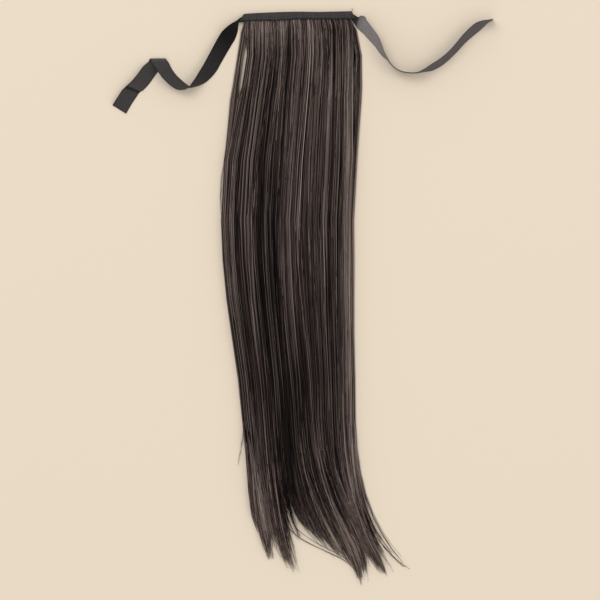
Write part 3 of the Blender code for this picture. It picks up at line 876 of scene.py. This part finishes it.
def ribbon_material():
    """Matte plain-weave tape with firmer, darker edges; painted light and shade lighten and darken it along
    the ties and across the band.
    """
    material, tree, shader = new_material("woven_tape", roughness=0.88, specular=0.1)
    weave_map = result(tree, "ShaderNodeUVMap", uv_map="weave")
    parts = add_node(tree, "ShaderNodeSeparateXYZ", weave_map)
    across, along = parts.outputs["X"], parts.outputs["Y"]
    turns = math.pi / THREAD_SPACING
    warp = maths(tree, "SINE", times(tree, across, turns))
    weft = maths(tree, "SINE", times(tree, along, turns))
    crossing = times(tree, warp, weft)
    fuzz = result(tree, "ShaderNodeTexNoise", weave_map, *FUZZ_NOISE)
    cloudy = result(tree, "ShaderNodeTexNoise", weave_map, *CLOUD_NOISE)
    relief = plus(tree, times(tree, crossing, 0.5), fuzz)
    middle = RIBBON_WIDTH / 2
    inner, outer, dark = SELVEDGE
    from_middle = maths(tree, "ABSOLUTE", maths(tree, "SUBTRACT", across, middle))
    edge = result(tree, "ShaderNodeMapRange", from_middle, middle - inner, middle - outer, 1.0, dark)
    # Painted light and shade kept at the ribbon's points darkens or lightens its colour
    painted_shading = add_node(tree, "ShaderNodeAttribute", attribute_name="painted_shading").outputs["Fac"]
    woven = times(tree, crossing, WEAVE_SHARE)
    tone = plus(tree, woven, times(tree, fuzz, FUZZ_SHARE))
    tone = plus(tree, tone, times(tree, cloudy, CLOUD_SHARE))
    tone = plus(tree, tone, PLAIN_SHARE)
    tone = times(tree, times(tree, tone, edge), painted_shading)
    colour = result(tree, "ShaderNodeVectorMath", RIBBON_COLOUR, None, operation="SCALE")
    tree.links.new(tone, colour.node.inputs["Scale"])
    tree.links.new(colour, shader.inputs["Base Color"])
    shader.inputs["Sheen Weight"].default_value = 0.05
    shader.inputs["Sheen Roughness"].default_value = 0.5
    add_bump(tree, shader, relief, *WEAVE_BUMP)
    return material


def thread_material():
    material, tree, shader = new_material("sewing_thread", roughness=0.6, specular=0.25)
    where = add_node(tree, "ShaderNodeTexCoord").outputs["Object"]
    twist = result(tree, "ShaderNodeTexNoise", where, *TWIST_NOISE)
    colour = colour_ramp(tree, twist, THREAD_STOPS)
    tree.links.new(colour, shader.inputs["Base Color"])
    return material


def floor_material():
    material, tree, shader = new_material("pale_floor", roughness=0.9, specular=0.1)
    shader.inputs["Base Color"].default_value = FLOOR_COLOUR
    return material


# Hair pieces

def soft_waves(random, along, size, waves=3):
    """Gentle random waves along the hair."""
    total = np.zeros_like(along)
    for count in range(1, waves + 1):
        swell = random.normal(0.0, size / count)
        total += swell * np.sin(math.tau * count * along + random.uniform(0.0, math.tau))
    return total


def free_waves(random, size, waves=3):
    """Waves down the stations of a lock, which are calm at the roots."""
    return soft_waves(random, ALL_STATIONS, size, waves) * np.clip(ALL_STATIONS * ROOT_CALM, 0.0, 1.0)


def line_at(points, drop):
    """Across of a line at some drops, and how strong it is there."""
    drops = [point[1] for point in points]
    part = np.clip((drop - drops[0]) / (drops[-1] - drops[0]), 0.0, 1.0)
    return np.interp(drop, drops, [point[0] for point in points]), np.sin(math.pi * part) ** 0.5


def place_effects(across, drop):
    """Painted light and shade at a place in the hair, mixed with its own lighter and darker tone, and how far
    its strands sink.
    """
    tone, sunk = np.zeros_like(across), np.zeros_like(across)
    for middle, level, half, length, amount in PAINTED_LIGHT_AND_TONE_PATCHES:
        tone += amount * np.exp(-((across - middle) / half) ** 2 - ((drop - level) / length) ** 2)
    for light, depth, half, points in LINES:
        line, strength = line_at(points, drop)
        near = np.exp(-((across - line) / half) ** 2) * strength
        tone += light * near
        sunk += depth * near
    return tone, sunk


def open_slits(across, drop, margin):
    """Moves a strand's points to one side of each slit, so that the slits stay open."""
    for half, points in SLITS:
        line, strength = line_at(points, drop)
        room = (half + margin) * np.minimum(1.0, 1.5 * strength)
        gap = across - line
        side = math.copysign(1.0, float(np.sum(gap * strength)))
        across = np.where((strength > 0.01) & (gap * side < room), line + side * room, across)
    return across


ALL_STATIONS = np.linspace(0.0, 1.0, len(HAIR_ROWS) + TAIL_STATIONS)
ALONG = np.linspace(0.0, 1.0, len(ROW_PICK) + TAIL_STEPS)
LAST_ROW = HAIR_ROWS[-1][0]
TAIL_ROW = HAIR_ROWS[TAIL_START]


def tail_points(random, start, before, loose):
    """Points on a smooth way from the last straight row towards a tip of the hair."""
    share = (start[0] - TAIL_ROW[1]) / (TAIL_ROW[2] - TAIL_ROW[1]) + random.normal(0.0, TIP_MIX)
    tip_row = next((row for row in TIPS if share < row[0]), TIPS[-1])
    scatter = random.normal(0.0, TIP_SCATTER, 2) * loose * random.choice(SCATTER_SIZES, p=SCATTER_CHANCES)
    tip = np.array(tip_row[1:3]) + scatter
    tip[1] = min(tip[1], LONGEST_DROP)
    slant = np.array((tip_row[3] + random.normal(0.0, SLANT_SPREAD), 1.0))
    slant /= np.linalg.norm(slant)
    first = (start - before) / np.linalg.norm(start - before)
    length = np.linalg.norm(tip - start)
    pulls = (start, start + first * length * TAIL_PULL[0], tip - slant * length * TAIL_PULL[1], tip)
    reach = 1.0 - min(SHORT_FACTOR * tip_row[4] * random.uniform() ** SHORT_POWER / length, SHORT_LIMIT)
    points = []
    for step in range(1, TAIL_STEPS + 1):
        t = reach * step / TAIL_STEPS
        weights = ((1 - t) ** 3, 3 * t * (1 - t) ** 2, 3 * t * t * (1 - t), t ** 3)
        points.append(sum(weight * pull for weight, pull in zip(weights, pulls)))
    return np.array(points), tip[1]


def make_guide(random, layer, lock, share, depth, tone, size, count, loose=1.0, span=(0.01, 0.99)):
    """Guide of one wisp of strands down a lock to its tip: its points with their values."""
    across, drop, low, top = layer.surface(lock, np.clip(share, *span))
    start, before = (np.array((across[row], drop[row])) for row in (TAIL_START, TAIL_START - 1))
    tail, tip_drop = tail_points(random, start, before, loose)
    rows = np.array(ROW_PICK)
    across = np.concatenate((across[rows], tail[:, 0]))
    drop = np.concatenate((drop[rows], tail[:, 1]))
    part = np.clip((drop - LAST_ROW) / max(tip_drop - LAST_ROW, 1.0), 0.0, 1.0)
    tail_low, tail_top = layer_heights(layer.front, tail[:, 1], part[len(rows):])
    tail_top = tail_top - TAIL_SINK * (tail_top - tail_low)
    low = np.concatenate((low[rows], tail_low))
    top = np.concatenate((top[rows], tail_top))
    light, sunk = place_effects(across, drop)
    roots = np.clip((drop - ROOT_DROP) / ROOT_LENGTH, 0.0, 1.0)
    slim = 1.0 - TAIL_SLIM * part
    half_height = size[1] * (ROOT_HEIGHT + (1.0 - ROOT_HEIGHT) * roots) * slim
    level = low + (top - low) * np.clip(depth - (sunk if layer.front else 0.0), *DEPTH_LIMITS)
    level = np.maximum(level, half_height + STRAND_RADIUS + FLOOR_GAP)
    slope = np.gradient(np.stack((across, drop), axis=1), axis=0)
    slope /= np.linalg.norm(slope, axis=1)[:, None]
    across = open_slits(across, drop, 2.0 * size[0] + STRAND_RADIUS)
    return {
        "point": place_all(across, drop, level),
        "aside": np.stack((slope[:, 1], slope[:, 0], np.zeros_like(across)), axis=1),
        "tone": tone + light,
        "half_width": size[0] * MM * slim,
        "half_height": half_height * MM,
        "count": count,
    }


def lock_guides(random, layer, lock, level, strands, wisps):
    """Guides of one lock: clumps side by side, each of a few wisps that draw together and drift."""
    clumps = max(2, round(layer.width(lock) / CLUMP_WIDTH))
    lock_tone = random.normal(0.0, LOCK_TONE_SPREAD)
    guides = []
    for clump in range(clumps):
        middle = (clump + 0.5 + random.uniform(-CLUMP_SHIFT, CLUMP_SHIFT)) / clumps
        middle = middle + free_waves(random, CLUMP_WAVE / clumps)
        pinch = np.clip(PINCH + free_waves(random, PINCH_WAVE), *PINCH_LIMITS)
        clump_tone = random.normal(0.0, CLUMP_TONE_SPREAD)
        clump_depth = random.uniform(*CLUMP_DEPTHS)
        for _ in range(wisps):
            offset = random.uniform(-1.0, 1.0)
            drift = random.normal(0.0, WISP_DRIFT) * ALL_STATIONS ** 1.5
            sway = free_waves(random, *WISP_SWAY)
            share = middle + (offset * WISP_REACH * pinch + drift + sway) / clumps
            own = random.normal(0.0, WISP_TONE_SPREAD)
            tone = STRAND_TONE + lock_tone + clump_tone + own + soft_waves(random, ALONG, *WISP_TONE_WAVES)
            lift = TONE_LIFT * min(own, TONE_LIFT_LIMIT)
            depth = level + clump_depth + lift + random.uniform(*WISP_DEPTHS)
            depth = depth + soft_waves(random, ALONG, *WISP_DEPTH_WAVES)
            size = (random.uniform(*WISP_WIDTHS), random.uniform(*WISP_HEIGHTS))
            guides.append(make_guide(random, layer, lock, share, depth, tone, size, strands))
    return guides


def edge_guides(random, layer, lock, share, levels):
    """Guides down the outer side of a layer, one above the other."""
    guides = []
    for level in levels:
        shift = random.uniform(-EDGE_SHIFT, EDGE_SHIFT)
        place_share = share + shift + soft_waves(random, ALL_STATIONS, EDGE_WAVE)
        tone = STRAND_TONE + random.normal(0.0, EDGE_TONE_SPREAD) + soft_waves(random, ALONG, EDGE_TONE_WAVE)
        depth = level + soft_waves(random, ALONG, EDGE_DEPTH_WAVE)
        guides.append(make_guide(random, layer, lock, place_share, depth, tone, EDGE_SIZE, EDGE_STRANDS))
    return guides


def outline_guides(random, layer, lock, outside, amount):
    """Single hairs just outside a side of the layer, which soften its outline."""
    guides = []
    for _ in range(amount):
        away = OUTLINE_START + OUTLINE_SPREAD * abs(random.normal())
        share = outside * away + (1.0 if outside > 0 else 0.0)
        share = share + soft_waves(random, ALL_STATIONS, *OUTLINE_WAVES)
        tone = random.uniform(*OUTLINE_TONES) + np.zeros_like(ALONG)
        level = random.uniform(*OUTLINE_LEVELS)
        guides.append(make_guide(
            random, layer, lock, share, level, tone, OUTLINE_SIZE, 1, OUTLINE_SCATTER, OUTLINE_SPAN,
        ))
    return guides


def loose_guides(random, layer, amount):
    """Single hairs that cross the others just above the layer."""
    guides = []
    for _ in range(amount):
        lock = int(random.integers(layer.count))
        share = random.uniform(*LOOSE_SHARES) + random.normal(0.0, LOOSE_LEAN) * ALL_STATIONS
        share = share + soft_waves(random, ALL_STATIONS, LOOSE_WAVE)
        tone = random.uniform(*LOOSE_TONES) + np.zeros_like(ALONG)
        guides.append(make_guide(
            random, layer, lock, share, LOOSE_LEVEL, tone, LOOSE_SIZE, 1, LOOSE_SCATTER,
        ))
    return guides


def stray_guides():
    """Single hairs on smooth curves of their own."""
    guides = []
    count = len(ALONG)
    for amount, stray in STRAYS:
        points = np.array(stray)
        knots = np.linspace(0.0, 1.0, len(points))
        across, drop = (np.polyval(np.polyfit(knots, points[:, axis], 3), ALONG) for axis in (0, 1))
        level = np.interp(ALONG, (0.0, 1.0), STRAY_LEVELS)
        guides.append({
            "point": place_all(across, drop, level),
            "aside": np.tile((1.0, 0.0, 0.0), (count, 1)),
            "tone": np.full(count, STRAY_TONE),
            "half_width": np.full(count, STRAY_SIZE[0] * MM),
            "half_height": np.full(count, STRAY_SIZE[1] * MM),
            "count": amount,
        })
    return guides


def guide_mesh(name, guides):
    """Edges of all the guides in one mesh, with their values at its points."""
    size = len(ALONG)
    points = np.concatenate([guide["point"] for guide in guides])
    starts = np.arange(len(guides))[:, None] * size + np.arange(size - 1)[None, :]
    edges = np.stack((starts.ravel(), starts.ravel() + 1), axis=1)
    mesh = bpy.data.meshes.new(name)
    mesh.from_pydata(points.tolist(), edges.tolist(), [])
    keys = ("tone", "half_width", "half_height")
    values = {key: np.concatenate([guide[key] for guide in guides]) for key in keys}
    values["along"] = np.tile(ALONG, len(guides))
    for key, value in values.items():
        mesh.attributes.new(key, "FLOAT", "POINT").data.foreach_set("value", value.astype(np.float32))
    count = np.repeat([guide["count"] for guide in guides], size).astype(np.int32)
    mesh.attributes.new("count", "INT", "POINT").data.foreach_set("value", count)
    aside = np.concatenate([guide["aside"] for guide in guides]).astype(np.float32)
    mesh.attributes.new("aside", "FLOAT_VECTOR", "POINT").data.foreach_set("vector", aside.ravel())
    return mesh


def add_quad(mesh_data, layer, corners, maps):
    face = mesh_data.faces.new(corners)
    face.smooth = True
    for loop, (u, v) in zip(face.loops, maps):
        loop[layer].uv = (u, v)


def finish_piece(name, mesh_data, material):
    bmesh.ops.recalc_face_normals(mesh_data, faces=mesh_data.faces)
    mesh = bpy.data.meshes.new(name)
    mesh_data.to_mesh(mesh)
    mesh_data.free()
    mesh.materials.append(material)
    piece = bpy.data.objects.new(name, mesh)
    bpy.context.collection.objects.link(piece)
    return piece


def make_core(name, layer, material):
    """Dark body of one layer, a closed loft in every lock, a little inside the strands."""
    mesh_data = bmesh.new()
    lock_map = mesh_data.loops.layers.uv.new("lock_map")
    for lock in range(layer.count):
        rings = []
        surfaces = [layer.surface(lock, np.full(len(layer.part), share)) for share in CORE_SHARES]
        for station in CORE_STATIONS:
            top, under = [], []
            for across, drop, low, high in surfaces:
                room = high[station] - low[station]
                inset = min(CORE_INSET, CORE_INSET_SHARE * room)
                narrow = 1.0 - min(CORE_NARROWING * layer.part[station], 0.9)
                middle = (surfaces[4][0][station], surfaces[4][1][station])
                x = middle[0] + (across[station] - middle[0]) * narrow
                d = middle[1] + (drop[station] - middle[1]) * narrow
                x = float(open_slits(np.array([x]), np.array([d]), CORE_MARGIN)[0])
                top.append(mesh_data.verts.new(place(x, d, high[station] - inset)))
                under.append(mesh_data.verts.new(place(x, d, low[station] + CORE_FOOT * inset)))
            rings.append(top + under[::-1])
        ring_map = list(CORE_SHARES) + [2.0 - share for share in CORE_SHARES[::-1]]
        size = len(ring_map)
        for number, (near, far) in enumerate(zip(rings, rings[1:])):
            v, w = (CORE_MAP_STEP * step + CORE_MAP_SHIFT * lock for step in (number, number + 1))
            for index in range(size):
                after = (index + 1) % size
                u, t = ring_map[index], ring_map[after] if after else CORE_MAP_END
                add_quad(
                    mesh_data, lock_map, (near[index], near[after], far[after], far[index]),
                    ((u, v), (t, v), (t, w), (u, w)),
                )
        mesh_data.faces.new(rings[0])
        mesh_data.faces.new(rings[-1])
    return finish_piece(name, mesh_data, material)


# Ribbon pieces

def curve_value(a, b, c, d, t):
    """Value on a smooth curve from b to c, with a and d as its neighbours."""
    bend = (2 * a - 5 * b + 4 * c - d) * t * t + (3 * b - a - 3 * c + d) * t ** 3
    return b + 0.5 * ((c - a) * t + bend)


def smooth_rows(rows, steps):
    """Rows of a table with further rows between them on smooth curves."""
    padded = (rows[0],) + tuple(rows) + (rows[-1],)
    made = []
    for index in range(len(rows) - 1):
        near = padded[index:index + 4]
        for step in range(steps):
            t = step / steps
            made.append(tuple(curve_value(a, b, c, d, t) for a, b, c, d in zip(*near)))
    made.append(tuple(rows[-1]))
    return made


def edge_thickness(share):
    """Thickness of the tape at a share of its width, round and a little fuller at its edges."""
    return TAPE * float(np.interp(min(share, 1.0 - share), EDGE_ROUND, EDGE_THICKNESS))


def tape_piece(name, grid, normals, widths, painted_shading_rows, material):
    """Closed tape around a grid of middle points, as rows of points across the tape."""
    mesh_data = bmesh.new()
    weave = mesh_data.loops.layers.uv.new("weave")
    # Painted light and shade of the ribbon, kept at its points
    painted_shading_layer = mesh_data.verts.layers.float.new("painted_shading")
    length = 0.0
    rings, lengths = [], []
    for number, (row, normal_row) in enumerate(zip(grid, normals)):
        if number:
            length += (row[len(row) // 2] - grid[number - 1][len(row) // 2]).length
        lengths.append(length)
        upper, lower = [], []
        for share, point, normal in zip(EDGE_SHARES, row, normal_row):
            half = normal * (edge_thickness(share) / 2)
            upper.append(mesh_data.verts.new((point + half) * MM))
            lower.append(mesh_data.verts.new((point - half) * MM))
        ring = upper + lower[::-1]
        for vertex, painted_shading in zip(ring, list(painted_shading_rows[number]) + list(painted_shading_rows[number])[::-1]):
            vertex[painted_shading_layer] = painted_shading
        rings.append(ring)
    shares = list(EDGE_SHARES) + list(EDGE_SHARES[::-1])
    size = len(shares)
    for number in range(len(rings) - 1):
        for index in range(size):
            after = (index + 1) % size
            spots = ((number, index), (number, after), (number + 1, after), (number + 1, index))
            add_quad(
                mesh_data, weave, [rings[row][column] for row, column in spots],
                [(shares[column] * widths[row], lengths[row]) for row, column in spots],
            )
    mesh_data.faces.new(rings[0])
    mesh_data.faces.new(rings[-1])
    return finish_piece(name, mesh_data, material), length


def tie_line(row):
    """Raised and resting edge of the ribbon's middle at its height above the floor."""
    raised_x, raised_drop, rest_x, rest_drop, width, lift = row
    plan = math.hypot(raised_x - rest_x, raised_drop - rest_drop)
    climb = math.sqrt(max(width ** 2 - plan ** 2, 0.0))
    return Vector((raised_x, -raised_drop, lift + climb)), Vector((rest_x, -rest_drop, lift))


def make_tie(name, rows, painted_shading_table, random, material):
    """Free ribbon end that stands, twists and folds as its rows say, a little cupped where it stands."""
    whole = [row if len(row) == 6 else (*row, RIBBON_WIDTH, 0.0) for row in rows]
    stations = smooth_rows(whole, TIE_STEPS)
    lines = [tie_line(row) for row in stations]
    middles = [(raised + resting) / 2 for raised, resting in lines]
    steps = np.linspace(0.0, 1.0, len(stations))
    cups = soft_waves(random, steps, *CUP_WAVES)
    grid, normals = [], []
    for index, (raised, resting) in enumerate(lines):
        before = middles[max(index - 1, 0)]
        after = middles[min(index + 1, len(lines) - 1)]
        normal = (after - before).cross(raised - resting).normalized()
        standing = (raised.z - resting.z) / RIBBON_WIDTH
        cup = float(cups[index]) * (TIE_CUP + STANDING_CUP * max(standing, 0.0) ** 2)
        row = [
            raised + (resting - raised) * share + normal * (cup * math.sin(math.pi * share))
            for share in EDGE_SHARES
        ]
        lowest = min(
            (point + normal * (side * edge_thickness(share) / 2)).z
            for share, point in zip(EDGE_SHARES, row) for side in (-1, 1)
        )
        settle = Vector((0.0, 0.0, stations[index][5] - lowest))
        grid.append([point + settle + ORIGIN for point in row])
        normals.append([normal] * len(row))
    widths = [row[4] for row in stations]
    # Painted light and shade along the tie, the same across its width
    painted_shading_rows = [[float(np.interp(step, *zip(*painted_shading_table)))] * len(EDGE_SHARES) for step in steps]
    return tape_piece(name, grid, normals, widths, painted_shading_rows, material)


def band_path(top, height, share):
    """Drop, up and outward direction on the folded band, from its back edge to its front edge."""
    radius = BAND_DEPTH / 2 - CLOTH / 2
    flat = height - BAND_DEPTH / 2
    arc = math.pi * radius
    length = (2 * flat + arc) * share
    if length <= flat:
        return top + height - length, BAND_DEPTH / 2 - radius, (0.0, -1.0)
    if length >= flat + arc:
        return top + BAND_DEPTH / 2 + length - flat - arc, BAND_DEPTH / 2 + radius, (0.0, 1.0)
    angle = (length - flat) / radius
    out = (-math.sin(angle), -math.cos(angle))
    return top + BAND_DEPTH / 2 + radius * out[0], BAND_DEPTH / 2 + radius * out[1], out


def make_band(name, random, material):
    """Ribbon folded lengthwise over the heads of the hair, drawn in a little at its stitches."""
    ends = (BAND_ROWS[0][0], BAND_ROWS[-1][0])
    count = int((ends[1] - ends[0]) / BAND_STEP)
    places = np.linspace(*ends, count + 1)
    table = np.array(smooth_rows(BAND_ROWS, BAND_ROW_STEPS))
    tops = np.interp(places, table[:, 0], table[:, 1])
    heights = np.interp(places, table[:, 0], table[:, 2])
    shares = (places - ends[0]) / (ends[1] - ends[0])
    waves = soft_waves(random, shares, *BAND_WAVES)
    # Painted shading of small ripples along the band
    painted_ripples = sum(
        PAINTED_RIPPLE_SHADE * np.sin(math.tau * turns * shares + random.uniform(0.0, math.tau)) for turns in PAINTED_RIPPLE_TURNS
    )
    grid, normals, painted_shading_rows = [], [], []
    for across, top, height, wave, painted_ripple in zip(places, tops, heights, waves, painted_ripples):
        row, row_normals, row_painted_shading = [], [], []
        near_left = max(0.0, 1.0 - (across - ends[0]) / END_REACH)
        near_right = max(0.0, 1.0 - (ends[1] - across) / END_REACH)
        for share in EDGE_SHARES:
            drop, up, out = band_path(top, height, share)
            normal = Vector((0.0, -out[0], out[1]))
            to_edge = top + height - drop
            near_stitch = math.exp(-((to_edge - STITCH_DROP) / PUCKER_WIDTH) ** 2)
            phase = math.cos(math.tau * (across - ends[0]) / STITCH_PITCH)
            low_edge = math.exp(-(to_edge / LOW_EDGE_WIDTH) ** 2)
            tuck = -PUCKER * near_stitch * (0.6 + 0.4 * phase)
            tuck += 0.5 * wave * low_edge * (1 if out[1] > 0 else 0)
            below = (drop - top) / height
            slanted = across + (END_SLANT[1] * near_right - END_SLANT[0] * near_left) * below
            drop += END_DROP * near_left ** 2 * below
            row.append(Vector((slanted, -drop, up)) + normal * tuck + ORIGIN)
            row_normals.append(normal)
            # Painted shade in the stitch groove, along the fold at the band's top edge and along its lower
            # edge, with the waves and ripples painted as light and shade
            painted_fold_shade = math.exp(-((share - 0.5) / FOLD_SHADE_WIDTH) ** 2)
            tone = 1.15 - 0.7 * near_stitch * (0.7 + 0.3 * phase) - 0.85 * painted_fold_shade - 0.6 * low_edge
            row_painted_shading.append(BAND_PAINTED_SHADING_LEVEL * max(tone + 1.2 * wave + painted_ripple, 0.1))
        grid.append(row)
        normals.append(row_normals)
        painted_shading_rows.append(row_painted_shading)
    return tape_piece(name, grid, normals, [RIBBON_WIDTH] * len(grid), painted_shading_rows, material)


def make_stitches(name, tree, material):
    """Row of stitches along the lower front edge of the band."""
    places = np.linspace(BAND_ROWS[0][0] + STITCH_MARGIN, BAND_ROWS[-1][0] - STITCH_MARGIN, STITCH_POINTS)
    table = np.array(smooth_rows(BAND_ROWS, BAND_ROW_STEPS))
    feet = np.interp(places, table[:, 0], table[:, 1] + table[:, 2]) - STITCH_DROP
    level = BAND_DEPTH - CLOTH / 2 + TAPE / 2 - PUCKER * 0.6
    mesh = bpy.data.meshes.new(name)
    points = [place(across, drop, level) for across, drop in zip(places, feet)]
    mesh.from_pydata(points, [(index, index + 1) for index in range(len(points) - 1)], [])
    sizes = {"Pitch": STITCH_PITCH * MM, "Length": STITCH_LENGTH * MM, "Radius": STITCH_RADIUS * MM}
    return grown(name, mesh, tree, sizes, material)


# Studio

CAMERA_X = -3.1
CAMERA_Y = -0.8
CAMERA_HEIGHT = 2307.0
FRAME_WIDTH = 624.0
HAIR_LEVEL = 7.0
SENSOR = 36.0
FLOOR_SIZE = 20.0
FLOOR_LEVEL = -0.0003
LIGHTS = (   # name, location, size, power, colour
    ("key_light", (-1.8, 2.2, 4.5), 3.0, 85.0, (1.0, 0.99, 0.97)),
    ("side_light", (3.2, 0.4, 3.8), 2.4, 36.0, (1.0, 0.98, 0.95)),
)
SKY_COLOUR = (1.0, 0.99, 0.975, 1.0)
SKY_STRENGTH = 0.8


def make_camera():
    data = bpy.data.cameras.new("camera")
    data.sensor_width = SENSOR
    data.lens = SENSOR * (CAMERA_HEIGHT - HAIR_LEVEL) / FRAME_WIDTH
    data.clip_end = 100.0
    camera = bpy.data.objects.new("camera", data)
    camera.location = (CAMERA_X * MM, CAMERA_Y * MM, CAMERA_HEIGHT * MM)
    bpy.context.collection.objects.link(camera)
    bpy.context.scene.camera = camera


def make_light(name, location, size, power, colour):
    data = bpy.data.lights.new(name, "AREA")
    data.shape = "DISK"
    data.size = size
    data.energy = power
    data.color = colour
    light = bpy.data.objects.new(name, data)
    light.location = location
    light.rotation_mode = "QUATERNION"
    light.rotation_quaternion = (-Vector(location)).to_track_quat("-Z", "Y")
    bpy.context.collection.objects.link(light)


def make_studio():
    mesh_data = bmesh.new()
    bmesh.ops.create_grid(mesh_data, x_segments=2, y_segments=2, size=FLOOR_SIZE)
    for vertex in mesh_data.verts:
        vertex.co.z = FLOOR_LEVEL
    floor = finish_piece("floor", mesh_data, floor_material())
    for light in LIGHTS:
        make_light(*light)
    world = bpy.data.worlds.new("studio")
    world.use_nodes = True
    background = world.node_tree.nodes["Background"]
    background.inputs["Color"].default_value = SKY_COLOUR
    background.inputs["Strength"].default_value = SKY_STRENGTH
    bpy.context.scene.world = world
    bpy.context.scene.view_settings.view_transform = "Standard"


# Assembly

def finish_hair(piece, node):
    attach(piece, "root")
    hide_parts(node)


def make_hair_pieces():
    random = np.random.default_rng(41)
    fibre = strand_material()
    shaded = core_material()
    tree = strand_tree()
    back = Layer(BACK_LOCKS, BACK_SLITS, False)
    front = Layer(FRONT_LOCKS, (), True)
    finish_hair(make_core("back_hair_core", back, shaded), "weft_back")
    finish_hair(make_core("front_hair_core", front, shaded), "weft_front")
    last_front, last_back = front.count - 1, back.count - 1
    sets = {name: [] for name in (
        "front_strands_left", "front_strands_middle", "front_strands_right", "front_strands_under",
        "back_strands_left", "back_strands_right",
    )}
    for lock in range(front.count):
        side = "front_strands_" + FRONT_SIDES[lock]
        sets[side] += lock_guides(random, front, lock, *FRONT_TOP)
        sets["front_strands_under"] += lock_guides(random, front, lock, *FRONT_UNDER)
    for lock, share in zip((0, last_front), FRONT_EDGES):
        sets["front_strands_under"] += edge_guides(random, front, lock, share, FRONT_EDGE_LEVELS)
    for lock in range(back.count):
        side = "back_strands_left" if lock < BACK_LEFT_LOCKS else "back_strands_right"
        outer = lock in (0, 1, last_back - 1, last_back)
        sets[side] += lock_guides(random, back, lock, *(BACK_OUTER if outer else BACK_INNER))
    for side, lock, share, outside, amount in zip(
        ("back_strands_left", "back_strands_right"), (0, last_back), BACK_EDGES, (-1.0, 1.0), OUTLINE_AMOUNTS,
    ):
        sets[side] += edge_guides(random, back, lock, share, BACK_EDGE_LEVELS)
        sets[side] += outline_guides(random, back, lock, outside, amount)
    sets["loose_strands"] = loose_guides(random, front, LOOSE_AMOUNTS[0])
    sets["loose_strands"] += loose_guides(random, back, LOOSE_AMOUNTS[1]) + stray_guides()
    for number, (name, guides) in enumerate(sets.items()):
        sizes = {
            "Radius": STRAND_RADIUS * MM,
            "Wander": STRAND_WANDER,
            "Shortest": SHORTEST_STRAND,
            "Tone spread": TONE_SPREAD,
            "Seed": 100 * number,
        }
        piece = grown(name, guide_mesh(name, guides), tree, sizes, fibre)
        finish_hair(piece, "weft_back" if name.startswith("back") else "weft_front")


def finish_ribbon(piece, node):
    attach(piece, "root")
    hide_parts(node)


def make_ribbon_pieces():
    random = np.random.default_rng(7)
    tape = ribbon_material()
    band, band_length = make_band("band_ribbon", random, tape)
    left, left_length = make_tie("left_ribbon", LEFT_TIE_ROWS, LEFT_TIE_PAINTED_SHADING, random, tape)
    right, right_length = make_tie("right_ribbon", RIGHT_TIE_ROWS, RIGHT_TIE_PAINTED_SHADING, random, tape)
    stitches = make_stitches("band_stitches", stitch_tree(), thread_material())
    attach(stitches, "root")
    finish_ribbon(band, "band")
    finish_ribbon(left, "tie_left")
    finish_ribbon(right, "tie_right")


make_camera()
make_studio()
make_hair_pieces()
make_ribbon_pieces()
